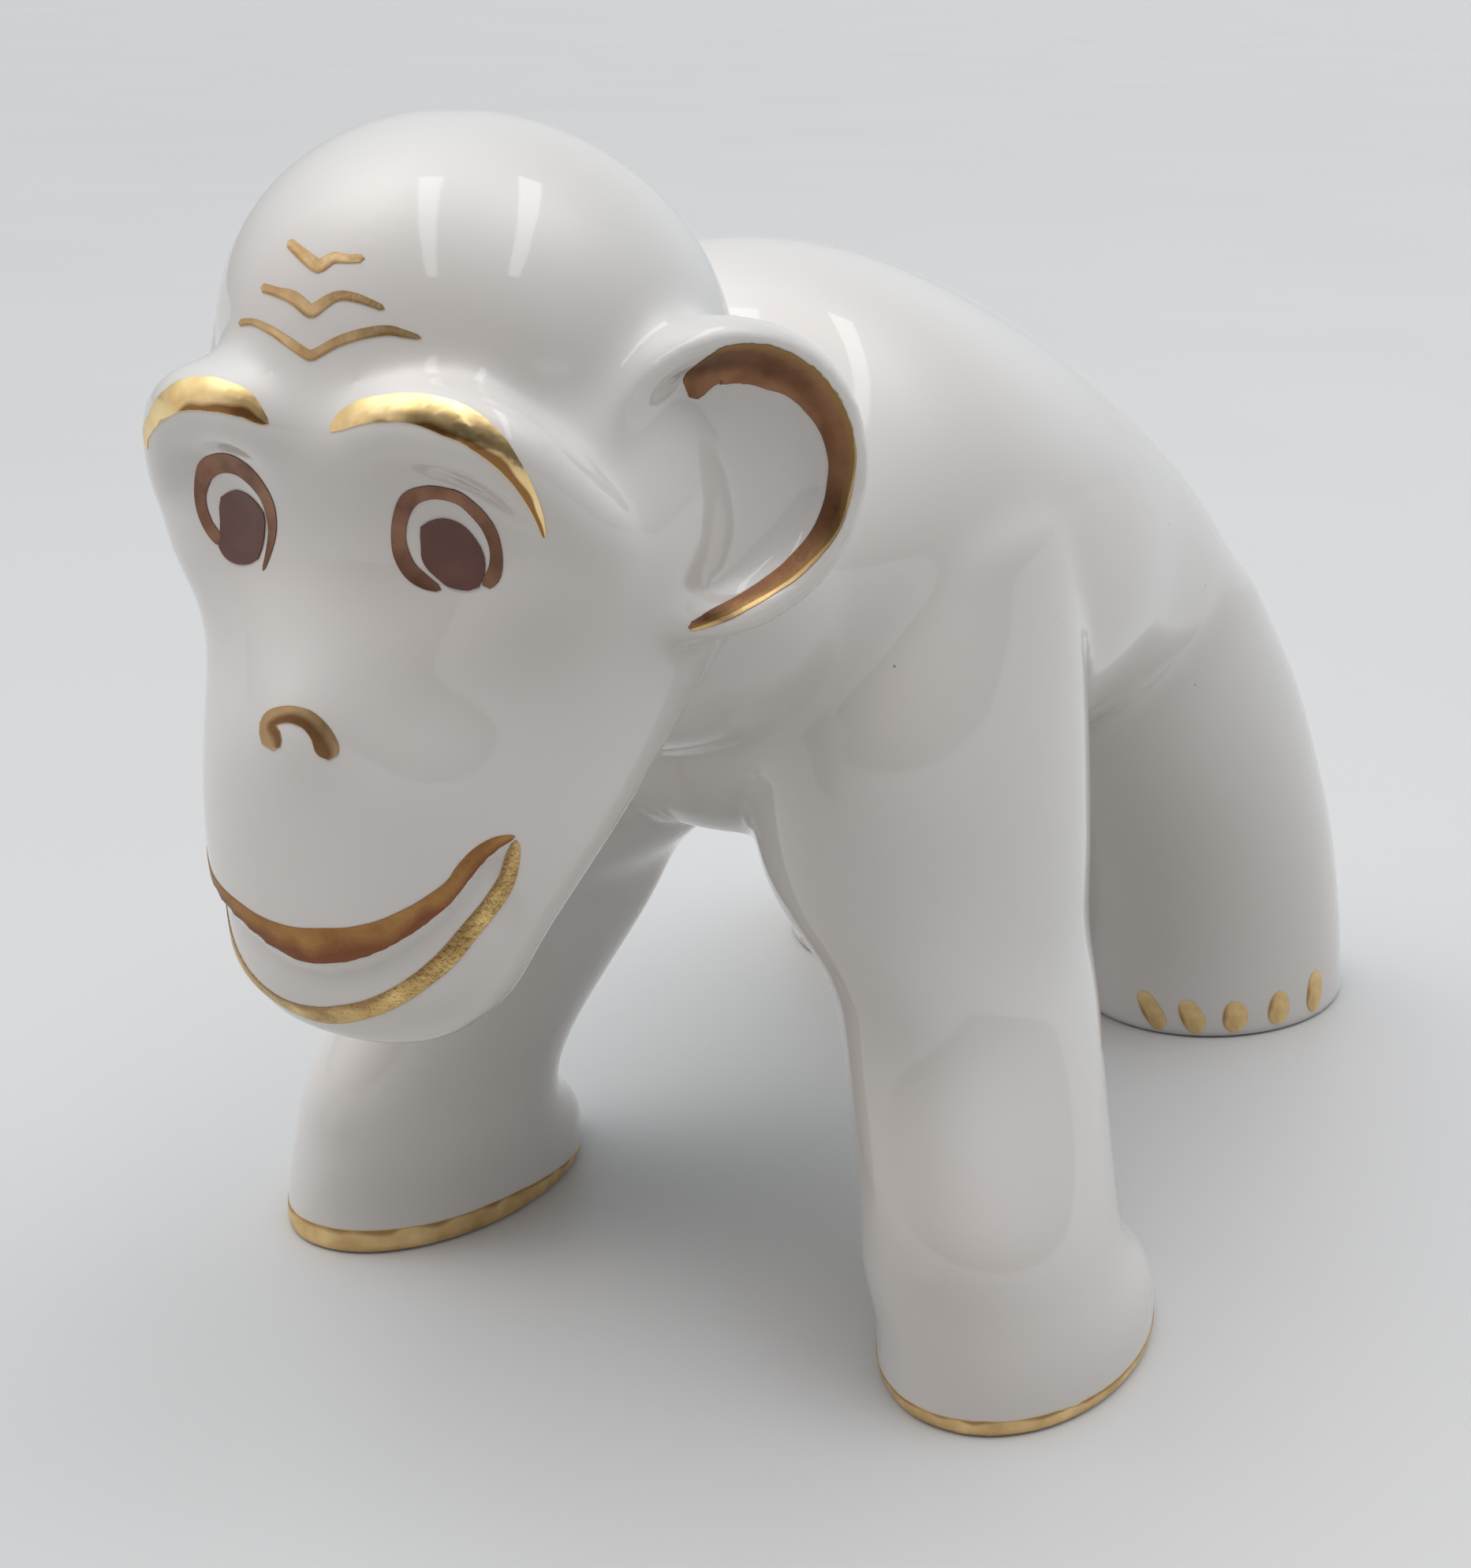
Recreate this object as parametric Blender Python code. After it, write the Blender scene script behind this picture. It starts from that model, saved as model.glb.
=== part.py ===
# Glazed china ape figurine: hollow slip castings luted together, standing on four feet.
# Metres, +Z up. The animal faces -Y, its left side is +X, and its soles rest on z = 0.
# Sizes below are measured back from the breast. The finished figurine stands with the middle
# of its whole length over the origin.

import math
from collections import namedtuple

import bmesh
import bpy
import numpy as np
from mathutils import Matrix, Vector

# Each row of a table is one section of a form, in shares of that form's own sizes.
Section = namedtuple("Section", "along top bottom width")
Level = namedtuple("Level", "height front back width squareness")
Limb = namedtuple("Limb", "sections top_out foot_out top_back lean width length turn dome")
LimbLevel = namedtuple("LimbLevel", "height out lean width length")
Mark = namedtuple("Mark", "across back up reach_across reach_up rise")

# Casting
WALL = 0.0026
JOINT_GAP = 0.0003
VENT_DIAMETER = 0.0045
FILLET = 0.0022
CORE_FILLET = 0.0011

# Trunk, from the breast to the rump
TRUNK_LENGTH = 0.0740
TRUNK_WIDTH = 0.0448
SHOULDER_HEIGHT = 0.0734
BELLY_HEIGHT = 0.0300
BREAST_DOME = 0.0125
RUMP_DOME = 0.0120
TRUNK = (
    Section(along=0.000, top=0.899, bottom=1.400, width=0.670),
    Section(along=0.108, top=0.988, bottom=1.133, width=0.893),
    Section(along=0.243, top=1.000, bottom=1.060, width=0.991),
    Section(along=0.432, top=0.951, bottom=1.000, width=1.000),
    Section(along=0.622, top=0.876, bottom=0.967, width=0.937),
    Section(along=0.811, top=0.779, bottom=0.900, width=0.888),
    Section(along=1.000, top=0.647, bottom=0.800, width=0.821),
)
VENT_ALONG = 0.54

# Head, from the chin to the forehead: its back lies at the breast
HEAD_HEIGHT = 0.0365
HEAD_DEPTH = 0.0354
HEAD_WIDTH = 0.0314
CHIN_DROP = 0.0399
CHIN_DOME = 0.0018
CROWN_DOME = 0.0141
HEAD = (
    Level(height=0.040, front=0.042, back=0.290, width=0.440, squareness=2.0),
    Level(height=0.082, front=0.008, back=0.330, width=0.560, squareness=2.1),
    Level(height=0.178, front=0.000, back=0.401, width=0.655, squareness=2.2),
    Level(height=0.315, front=0.000, back=0.582, width=0.765, squareness=2.3),
    Level(height=0.479, front=0.003, back=0.847, width=0.841, squareness=2.3),
    Level(height=0.616, front=0.036, back=0.972, width=0.911, squareness=2.4),
    Level(height=0.753, front=0.073, back=1.000, width=1.000, squareness=2.7),
    Level(height=0.890, front=0.085, back=0.992, width=0.981, squareness=2.5),
    Level(height=1.000, front=0.099, back=0.944, width=0.911, squareness=2.1),
)

# Places on the head are shares of its half width, its depth behind the muzzle and its height.
# Brow ridge over each eye: a bar of round section, thinner towards its ends
BROW_RADIUS = 0.0026
BROW_TAPER = 1.5
BROW_RIDGE = (
    (0.096, 0.122, 0.940),
    (0.382, 0.114, 0.972),
    (0.675, 0.147, 0.934),
    (0.880, 0.262, 0.800),
)

# Ear on each side of the head: a dish that opens outwards and forwards
EAR_PLACE = (0.987, 0.511, 0.852)
EAR_SWING = math.radians(29)
EAR_LENGTH = 0.0196
EAR_HEIGHT = 0.0182
EAR_THICKNESS = 0.0046
EAR_RIM = 0.0027
EAR_FLOOR = 0.0006

# Soft dents and swellings of the face: eye socket, brow, cheekbone, cheek and nose tip
RELIEF = 0.0010
FACE_RELIEF = (
    Mark(across=0.430, back=0.120, up=0.770, reach_across=0.36, reach_up=0.32, rise=-1.1),
    Mark(across=0.150, back=0.100, up=0.940, reach_across=0.22, reach_up=0.20, rise=0.9),
    Mark(across=0.828, back=0.209, up=0.765, reach_across=0.29, reach_up=0.27, rise=1.4),
    Mark(across=0.497, back=0.096, up=0.575, reach_across=0.22, reach_up=0.22, rise=-0.5),
    Mark(across=0.000, back=0.011, up=0.534, reach_across=0.19, reach_up=0.19, rise=0.6),
)
RELIEF_DEPTH = 0.6

# Mouth, from its middle to its corner: the lower lip lies back from the edge of the upper one
LIP_STEP = 0.0005
LIP_SOFTNESS = 0.0010
LIP_FADE = 0.0050
MOUTH = (
    (0.00, 0.166),
    (0.27, 0.195),
    (0.40, 0.227),
    (0.54, 0.275),
    (0.63, 0.338),
    (0.68, 0.367),
)

# Forelegs, from the sole to the shoulder: each reaches down and forwards from the trunk
HAND_SPREAD = 0.0490
SHOULDER_SPREAD = 0.0250
SHOULDER_ALONG = 0.230
ARM_LEAN = 0.0070
ARM_WIDTH = 0.0220
ARM_LENGTH = 0.0320
HAND_TURN = 0.09
SHOULDER_DOME = 0.0080
FORELEG = (
    LimbLevel(height=0.000, out=1.000, lean=1.000, width=0.818, length=0.875),
    LimbLevel(height=0.048, out=0.983, lean=0.986, width=0.818, length=0.869),
    LimbLevel(height=0.109, out=0.908, lean=1.314, width=0.782, length=0.719),
    LimbLevel(height=0.177, out=0.817, lean=1.171, width=0.745, length=0.763),
    LimbLevel(height=0.300, out=0.525, lean=0.514, width=0.755, length=0.831),
    LimbLevel(height=0.368, out=0.375, lean=0.343, width=0.773, length=0.888),
    LimbLevel(height=0.450, out=0.142, lean=0.229, width=0.982, length=0.963),
    LimbLevel(height=0.586, out=0.042, lean=0.143, width=1.000, length=1.000),
    LimbLevel(height=0.736, out=0.000, lean=0.000, width=0.909, length=0.875),
)

# Hind legs, from the sole to the hip: each reaches down and backwards from the trunk
FOOT_SPREAD = 0.0310
HIP_SPREAD = 0.0228
HIP_ALONG = 0.824
LEG_LEAN = -0.0162
LEG_WIDTH = 0.0226
LEG_LENGTH = 0.0292
FOOT_TURN = -0.28
HIP_DOME = 0.0070
HIND_LEG = (
    LimbLevel(height=0.000, out=1.000, lean=1.000, width=1.000, length=0.918),
    LimbLevel(height=0.109, out=0.951, lean=0.951, width=0.965, length=0.904),
    LimbLevel(height=0.245, out=0.780, lean=0.765, width=0.929, length=0.918),
    LimbLevel(height=0.409, out=0.439, lean=0.370, width=0.832, length=1.000),
    LimbLevel(height=0.545, out=0.000, lean=0.000, width=0.761, length=0.959),
)

# Joints between castings
LEG_JOINT_DROP = 0.0045
EAR_JOINT_CLEAR = 0.0004
EAR_ROOM = 1.2
NECK_TOP = (0.929, 1.164)
NECK_BOTTOM = (0.661, 0.233)

CHINA_COLOUR = (0.80, 0.79, 0.78, 1.0)
CHINA_ROUGHNESS = 0.12
CHINA_COAT = 0.6
SHARP_ANGLE = math.radians(50)

ROUND = 2.0
RING_POINTS = 48
STEPS_BETWEEN = 5
DOME_STEPS = 7
VOXEL = 0.00095
CORE_VOXEL = 0.0014
SKIN_FACES = 8800
CORE_FACES = 3000
SOLE_SPARE = 0.005
BEYOND = 0.12
SIDES = {"left": 1, "right": -1}

LIMBS = {
    "foreleg": Limb(
        FORELEG, SHOULDER_SPREAD / 2, HAND_SPREAD / 2, TRUNK_LENGTH * SHOULDER_ALONG, ARM_LEAN,
        ARM_WIDTH / 2, ARM_LENGTH / 2, HAND_TURN, SHOULDER_DOME,
    ),
    "hind_leg": Limb(
        HIND_LEG, HIP_SPREAD / 2, FOOT_SPREAD / 2, TRUNK_LENGTH * HIP_ALONG, LEG_LEAN,
        LEG_WIDTH / 2, LEG_LENGTH / 2, FOOT_TURN, HIP_DOME,
    ),
}


def clear_scene():
    for item in list(bpy.data.objects):
        bpy.data.objects.remove(item, do_unlink=True)


def new_object(name, bm):
    bmesh.ops.recalc_face_normals(bm, faces=bm.faces)
    mesh = bpy.data.meshes.new(name)
    bm.to_mesh(mesh)
    bm.free()
    made = bpy.data.objects.new(name, mesh)
    bpy.context.scene.collection.objects.link(made)
    return made


def hide(item):
    item.hide_render = True
    item.display_type = "WIRE"


# Rows on a smooth curve through the given rows
def smooth_rows(rows):
    rows = [np.array(row, float) for row in rows]
    ends = [2 * rows[0] - rows[1]], [2 * rows[-1] - rows[-2]]
    rows = ends[0] + rows + ends[1]
    found = []
    for a, b, c, d in zip(rows, rows[1:], rows[2:], rows[3:]):
        for step in range(STEPS_BETWEEN):
            t = step / STEPS_BETWEEN
            bend = (2 * a - 5 * b + 4 * c - d) * t**2 + (3 * b - a - 3 * c + d) * t**3
            found.append(0.5 * (2 * b + (c - a) * t + bend))
    found.append(rows[-2])
    return found


# Rings of centre, across, along and squareness that round off an end
def dome_rings(ring, before, height):
    centre, across, along, squareness = ring
    axis = (centre - before[0]).normalized()
    found = []
    for step in range(1, DOME_STEPS):
        angle = math.pi / 2 * step / DOME_STEPS
        shrink = math.cos(angle)
        rise = axis * height * math.sin(angle)
        found.append((centre + rise, across * shrink, along * shrink, squareness))
    return found


def loft(name, rings, start_dome=0.0, end_dome=0.0):
    if start_dome:
        rings = dome_rings(rings[0], rings[1], start_dome)[::-1] + rings
    if end_dome:
        rings = rings + dome_rings(rings[-1], rings[-2], end_dome)
    bm = bmesh.new()
    loops = []
    for centre, across, along, squareness in rings:
        power = ROUND / squareness
        verts = []
        for step in range(RING_POINTS):
            turn = math.tau * step / RING_POINTS
            cosine = math.copysign(abs(math.cos(turn)) ** power, math.cos(turn))
            sine = math.copysign(abs(math.sin(turn)) ** power, math.sin(turn))
            verts.append(bm.verts.new(centre + across * cosine + along * sine))
        loops.append([bm.edges.new(pair) for pair in zip(verts, verts[1:] + verts[:1])])
    for lower, upper in zip(loops, loops[1:]):
        bmesh.ops.bridge_loops(bm, edges=lower + upper)
    for end in (loops[0], loops[-1]):
        bmesh.ops.contextual_create(bm, geom=end)
    return new_object(name, bm)


def leg(name, limb, side, inset):
    rows = smooth_rows(limb.sections)
    lowest = rows[0].copy()
    lowest[0] = (inset if inset else -SOLE_SPARE) / SHOULDER_HEIGHT
    if inset:
        rows = [row for row in rows if row[0] * SHOULDER_HEIGHT > 2 * inset]
    spun = Matrix.Rotation(side * limb.turn, 3, "Z")
    rings = []
    for height, out, lean, width, length in [lowest] + rows:
        middle = limb.top_out + (limb.foot_out - limb.top_out) * out
        back = limb.top_back - limb.lean * lean
        across = spun @ Vector((limb.width * width - inset, 0, 0))
        along = spun @ Vector((0, limb.length * length - inset, 0))
        rings.append((Vector((side * middle, back, height * SHOULDER_HEIGHT)), across, along, ROUND))
    return loft(name, rings, 0.0, limb.dome - inset)


def trunk(name, inset):
    rings = []
    for along, top, bottom, width in smooth_rows(TRUNK):
        top = top * SHOULDER_HEIGHT - inset
        bottom = bottom * BELLY_HEIGHT + inset
        across = Vector((width * TRUNK_WIDTH / 2 - inset, 0, 0))
        centre = Vector((0, along * TRUNK_LENGTH, (top + bottom) / 2))
        rings.append((centre, across, Vector((0, 0, (top - bottom) / 2)), ROUND))
    return loft(name, rings, BREAST_DOME - inset, RUMP_DOME - inset)


def on_head(across, back, up):
    chin = SHOULDER_HEIGHT - CHIN_DROP
    return Vector((across * HEAD_WIDTH / 2, (back - 1) * HEAD_DEPTH, chin + up * HEAD_HEIGHT))


def head(name, inset):
    rings = []
    for height, front, back, width, squareness in smooth_rows(HEAD):
        across = Vector((width * HEAD_WIDTH / 2 - inset, 0, 0))
        along = Vector((0, (back - front) / 2 * HEAD_DEPTH - inset, 0))
        rings.append((on_head(0, (front + back) / 2, height), across, along, squareness))
    return loft(name, rings, CHIN_DOME - inset, CROWN_DOME - inset)


def brow_ridge(name, side):
    points = [on_head(side * across, back, up) for across, back, up in smooth_rows(BROW_RIDGE)]
    rings = []
    for step, point in enumerate(points):
        along = points[min(step + 1, len(points) - 1)] - points[max(step - 1, 0)]
        middling = math.sin(math.pi * (step + BROW_TAPER) / (len(points) - 1 + 2 * BROW_TAPER))
        radius = BROW_RADIUS * math.sqrt(middling)
        across = along.cross(Vector((0, 0, 1))).normalized() * radius
        rings.append((point, across, across.cross(along).normalized() * radius, ROUND))
    return loft(name, rings, BROW_RADIUS / 3, BROW_RADIUS / 3)


# A round disc: domed at its back, with a rim of round section and a hollow inside the rim
def ear(name, side):
    turned = Matrix.Rotation(-side * EAR_SWING, 3, "Z")
    across = turned @ Vector((0, EAR_LENGTH / 2, 0))
    along = Vector((0, 0, EAR_HEIGHT / 2))
    out = turned @ Vector((side, 0, 0))
    centre = on_head(side * EAR_PLACE[0], EAR_PLACE[1], EAR_PLACE[2])
    rim = EAR_RIM / EAR_LENGTH
    profile = []
    for step in range(1, DOME_STEPS):
        angle = math.pi / 2 * step / DOME_STEPS
        profile.append((math.sin(angle) ** 0.5, -EAR_THICKNESS / 2 * math.cos(angle)))
    for step in range(DOME_STEPS):
        angle = math.pi * step / DOME_STEPS
        profile.append((1 - rim + rim * math.cos(angle), EAR_THICKNESS / 2 * math.sin(angle)))
    for step in range(DOME_STEPS):
        angle = math.pi / 2 * step / DOME_STEPS
        profile.append(((1 - 2 * rim) * math.cos(angle), -EAR_FLOOR * math.sin(angle)))
    rings = [(centre + out * away, across * width, along * width, ROUND) for width, away in profile]
    return loft(name, rings)


# The pieces' outer forms, or with an inset the hollow inside them
def forms(inset):
    made = [trunk("trunk_form", inset), head("head_form", inset)]
    for side in SIDES.values():
        for name, limb in LIMBS.items():
            made.append(leg(name + "_form", limb, side, inset))
        if not inset:
            made.append(brow_ridge("brow_form", side))
            made.append(ear("ear_form", side))
    return made


def evaluated_mesh(item):
    bpy.context.view_layer.update()
    graph = bpy.context.evaluated_depsgraph_get()
    return bpy.data.meshes.new_from_object(item.evaluated_get(graph))


# Forms melted into one skin, with soft creases where they meet
def melt(name, parts, voxel, softness):
    bm = bmesh.new()
    for part in parts:
        bm.from_mesh(part.data)
        bpy.data.objects.remove(part, do_unlink=True)
    skin = new_object(name, bm)
    remesh = skin.modifiers.new("remesh", "REMESH")
    remesh.mode = "VOXEL"
    remesh.voxel_size = voxel
    smooth = skin.modifiers.new("smooth", "SMOOTH")
    smooth.factor = 0.5
    smooth.iterations = round(2 * (softness / voxel) ** 2)
    skin.data = evaluated_mesh(skin)
    skin.modifiers.clear()
    return skin


def thin_out(item, faces):
    now = sum(len(face.vertices) - 2 for face in item.data.polygons)
    decimate = item.modifiers.new("decimate", "DECIMATE")
    decimate.ratio = min(1.0, faces / now)
    item.data = evaluated_mesh(item)
    item.modifiers.clear()


# Each mark moves the skin along its outward normal, most at the mark's middle
def relief(points):
    amount = np.zeros(len(points))
    for mark in FACE_RELIEF:
        reach = np.array((mark.reach_across, RELIEF_DEPTH, mark.reach_up)) * HEAD_WIDTH / 2
        for side in SIDES.values() if mark.across else (1,):
            offset = (points - np.array(on_head(side * mark.across, mark.back, mark.up))) / reach
            amount += mark.rise * RELIEF * np.exp(-(offset**2).sum(axis=1))
    return amount


# How far each point of the muzzle lies back below the edge of the upper lip
def lip_recess(points):
    across = np.abs(points[:, 0]) / (HEAD_WIDTH / 2)
    edge = on_head(0, 0, 0).z + np.interp(across, *zip(*MOUTH)) * HEAD_HEIGHT
    below = edge - points[:, 2]
    step = np.clip(below / LIP_SOFTNESS, 0, 1) * np.clip(1 - below / LIP_FADE, 0, 1)
    corner = np.clip((MOUTH[-1][0] - across) / (MOUTH[-1][0] - MOUTH[-2][0]), 0, 1)
    muzzle = points[:, 1] < on_head(0, HEAD[0].back, 0).y
    return LIP_STEP * step * corner * muzzle


def carve_face(skin):
    mesh = skin.data
    points = np.empty(len(mesh.vertices) * 3, np.float32)
    normals = np.empty(len(mesh.vertices) * 3, np.float32)
    mesh.vertices.foreach_get("co", points)
    mesh.vertices.foreach_get("normal", normals)
    points = points.reshape(-1, 3)
    rise = relief(points) - lip_recess(points)
    points = points + normals.reshape(-1, 3) * rise[:, None]
    mesh.vertices.foreach_set("co", points.astype(np.float32).ravel())
    mesh.update()


def box(name, low, high, grown=0.0):
    bm = bmesh.new()
    bmesh.ops.create_cube(bm, size=1.0)
    low = Vector(low) - Vector((grown,) * 3)
    high = Vector(high) + Vector((grown,) * 3)
    bmesh.ops.scale(bm, vec=high - low, verts=bm.verts)
    bmesh.ops.translate(bm, vec=(low + high) / 2, verts=bm.verts)
    made = new_object(name, bm)
    hide(made)
    return made


# Everything in front of the neck joint
def head_box(name, grown=0.0):
    top = on_head(0, NECK_TOP[0], NECK_TOP[1])
    bottom = on_head(0, NECK_BOTTOM[0], NECK_BOTTOM[1])
    up = (top - bottom).normalized()
    tilt = Matrix.Rotation(-math.atan2(up.y, up.z), 4, "X")
    made = box(name, (-BEYOND, -BEYOND, -BEYOND), (BEYOND, 0, BEYOND), grown)
    made.data.transform(Matrix.Translation((top + bottom) / 2) @ tilt)
    return made


# Everything of one leg below its joint, which lies just under the trunk
def leg_box(name, limb, side, grown=0.0):
    beside = [row.bottom for row in TRUNK if abs(row.along * TRUNK_LENGTH - limb.top_back) < limb.length]
    joint = min(beside) * BELLY_HEIGHT - LEG_JOINT_DROP
    halfway = TRUNK_LENGTH * (SHOULDER_ALONG + HIP_ALONG) / 2
    front, back = limb.top_back - TRUNK_LENGTH / 3, halfway
    if limb.top_back > halfway:
        front, back = halfway, limb.top_back + TRUNK_LENGTH / 2
    low = (0 if side > 0 else -BEYOND, front, -BEYOND)
    high = (BEYOND if side > 0 else 0, back, joint)
    return box(name, low, high, grown)


def ear_box(name, side, grown=0.0):
    near = HEAD_WIDTH / 2 + EAR_JOINT_CLEAR
    centre = on_head(*EAR_PLACE)
    reach = Vector((0, EAR_LENGTH / 2, EAR_HEIGHT / 2)) * EAR_ROOM
    outs = sorted((side * near, side * (near + BEYOND)))
    low = (centre - reach).yz
    high = (centre + reach).yz
    return box(name, (outs[0], low[0], low[1]), (outs[1], high[0], high[1]), grown)


# Drain hole under the belly
def vent(name):
    bm = bmesh.new()
    radius = VENT_DIAMETER / 2
    bmesh.ops.create_cone(
        bm, cap_ends=True, segments=RING_POINTS // 2, radius1=radius, radius2=radius, depth=BELLY_HEIGHT
    )
    bmesh.ops.translate(bm, vec=(0, VENT_ALONG * TRUNK_LENGTH, BELLY_HEIGHT), verts=bm.verts)
    made = new_object(name, bm)
    hide(made)
    return made


def boolean(item, other, operation):
    cut = item.modifiers.new(other.name, "BOOLEAN")
    cut.operation = operation
    cut.object = other


def china(name):
    made = bpy.data.materials.new(name + "_china")
    made.use_nodes = True
    shader = made.node_tree.nodes["Principled BSDF"]
    shader.inputs["Base Color"].default_value = CHINA_COLOUR
    shader.inputs["Roughness"].default_value = CHINA_ROUGHNESS
    shader.inputs["Coat Weight"].default_value = CHINA_COAT
    made.diffuse_color = CHINA_COLOUR
    return made


# One casting: the shell kept inside one cutter and cleared of its neighbours
def casting(name, shell, keep, clear):
    made = bpy.data.objects.new(name, shell.data.copy())
    bpy.context.scene.collection.objects.link(made)
    if keep:
        boolean(made, keep, "INTERSECT")
    for other in clear:
        boolean(made, other, "DIFFERENCE")
    made.data.materials.append(china(name))
    made.data.shade_smooth()
    made.data.set_sharp_from_angle(angle=SHARP_ANGLE)
    return made


def smooth_skin():
    skin = melt("skin", forms(0.0), VOXEL, FILLET)
    carve_face(skin)
    return skin


# The figurine and its cutters move so that the middle of the whole length is over the origin
def stand_on_origin(skin):
    backs = [vertex.co.y for vertex in skin.data.vertices]
    pieces = list(bpy.data.objects)
    base = bpy.data.objects.new("base", None)
    bpy.context.scene.collection.objects.link(base)
    base.location = (0, -(min(backs) + max(backs)) / 2, 0)
    for item in pieces:
        item.parent = base


def main():
    clear_scene()
    skin = smooth_skin()
    thin_out(skin, SKIN_FACES)
    core = melt("core", forms(WALL), CORE_VOXEL, CORE_FILLET)
    thin_out(core, CORE_FACES)
    hide(core)
    hide(skin)
    ground = box("ground", (-BEYOND, -BEYOND, -BEYOND), (BEYOND, BEYOND, 0))
    boolean(skin, ground, "DIFFERENCE")
    boolean(skin, core, "DIFFERENCE")
    boolean(skin, vent("vent"), "DIFFERENCE")
    skin.data = evaluated_mesh(skin)
    skin.modifiers.clear()
    body_clear = [head_box("neck_clearance", JOINT_GAP)]
    head_clear = []
    for word, side in SIDES.items():
        for limb_name, limb in LIMBS.items():
            name = f"{word}_{limb_name}"
            casting(name, skin, leg_box(name + "_cut", limb, side), [])
            body_clear.append(leg_box(name + "_clearance", limb, side, JOINT_GAP))
        casting(f"{word}_ear", skin, ear_box(f"{word}_ear_cut", side), [])
        head_clear.append(ear_box(f"{word}_ear_clearance", side, JOINT_GAP))
    casting("head", skin, head_box("neck_cut"), head_clear)
    casting("torso", skin, None, body_clear)
    stand_on_origin(skin)


if __name__ == "__main__":
    main()
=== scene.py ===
import math

import bmesh
import bpy
import numpy as np
from mathutils import Matrix, Vector, noise
from mathutils.bvhtree import BVHTree


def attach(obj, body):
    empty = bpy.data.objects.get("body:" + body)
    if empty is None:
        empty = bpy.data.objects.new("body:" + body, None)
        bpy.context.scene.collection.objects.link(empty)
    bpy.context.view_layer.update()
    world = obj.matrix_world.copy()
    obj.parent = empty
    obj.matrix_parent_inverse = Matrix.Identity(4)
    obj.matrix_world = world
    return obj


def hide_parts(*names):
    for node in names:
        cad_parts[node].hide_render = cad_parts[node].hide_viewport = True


# Glazed china ape with painted gold, on a pale floor. Metres, +Z up.
# The animal faces -Y and its left side is +X. The forms are measured back from the breast.

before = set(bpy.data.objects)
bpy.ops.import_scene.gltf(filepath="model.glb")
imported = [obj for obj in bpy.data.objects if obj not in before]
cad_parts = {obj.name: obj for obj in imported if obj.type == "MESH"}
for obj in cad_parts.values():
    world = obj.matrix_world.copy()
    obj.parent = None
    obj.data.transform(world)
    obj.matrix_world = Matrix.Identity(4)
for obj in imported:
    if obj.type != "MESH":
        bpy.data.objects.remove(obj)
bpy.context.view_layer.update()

sides = {"left": 1, "right": -1}

casting = {
    "voxel": 0.00046,
    "softness": 0.0022,  # radius of the soft creases between the forms
    "ringPoints": 96,
    "stepsBetween": 8,
    "domeSteps": 12,
    "soleSpare": 0.005,
    "soleRound": 0.0006,
    "soleFlat": 0.00001,  # faces lower than this are the bare soles
    "likeSkin": 0.7,  # cosine of the widest angle at which a face still follows the skin
}

# along, top, bottom, width: shares of the trunk's own sizes
trunkShape = {
    "length": 0.0740,
    "width": 0.0448,
    "shoulderHeight": 0.0734,
    "bellyHeight": 0.0300,
    "breastDome": 0.0125,
    "rumpDome": 0.0120,
    "rows": (
        (0.000, 0.899, 1.400, 0.670),
        (0.108, 0.988, 1.133, 0.893),
        (0.243, 1.000, 1.060, 0.991),
        (0.432, 0.951, 1.000, 1.000),
        (0.622, 0.876, 0.967, 0.937),
        (0.811, 0.779, 0.900, 0.888),
        (1.000, 0.647, 0.800, 0.821),
    ),
}

# height, front, back, width, squareness
headShape = {
    "height": 0.0365,
    "depth": 0.0354,
    "width": 0.0314,
    "chinDrop": 0.0399,
    "chinDome": 0.0018,
    "crownDome": 0.0141,
    "rows": (
        (0.040, 0.042, 0.290, 0.440, 2.0),
        (0.082, 0.008, 0.330, 0.560, 2.1),
        (0.178, 0.000, 0.401, 0.655, 2.2),
        (0.315, 0.000, 0.582, 0.765, 2.3),
        (0.479, 0.003, 0.847, 0.841, 2.3),
        (0.616, 0.036, 0.972, 0.911, 2.4),
        (0.753, 0.073, 1.000, 1.000, 2.7),
        (0.890, 0.085, 0.992, 0.981, 2.5),
        (1.000, 0.099, 0.944, 0.911, 2.1),
    ),
}

# across, back, up: places on the head are shares of its half width, depth and height
browRidge = {
    "radius": 0.0026,
    "taper": 2.4,
    "points": (
        (0.096, 0.122, 0.940),
        (0.382, 0.114, 0.972),
        (0.675, 0.147, 0.934),
        (0.880, 0.262, 0.800),
    ),
}

earShape = {
    "place": (0.987, 0.511, 0.852),
    "swing": math.radians(29),
    "length": 0.0196,
    "height": 0.0182,
    "thickness": 0.0046,
    "rim": 0.0027,
    "floor": 0.0006,
}

# across, back, up, reach across, reach up, rise in millimetres
faceRelief = {
    "depth": 0.6,
    "marks": (
        (0.430, 0.120, 0.770, 0.36, 0.32, -1.1),
        (0.150, 0.100, 0.940, 0.22, 0.20, 0.9),
        (0.828, 0.209, 0.765, 0.29, 0.27, 1.4),
        (0.497, 0.096, 0.575, 0.22, 0.22, -0.5),
        (0.000, 0.011, 0.534, 0.19, 0.19, 0.6),
    ),
}

# The lower lip lies back from the lower edge of the upper lip's painted line
lips = {
    "step": 0.0008,
    "softness": 0.0009,
    "fade": 0.0060,
    "muzzle": 0.265,
}

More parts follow.
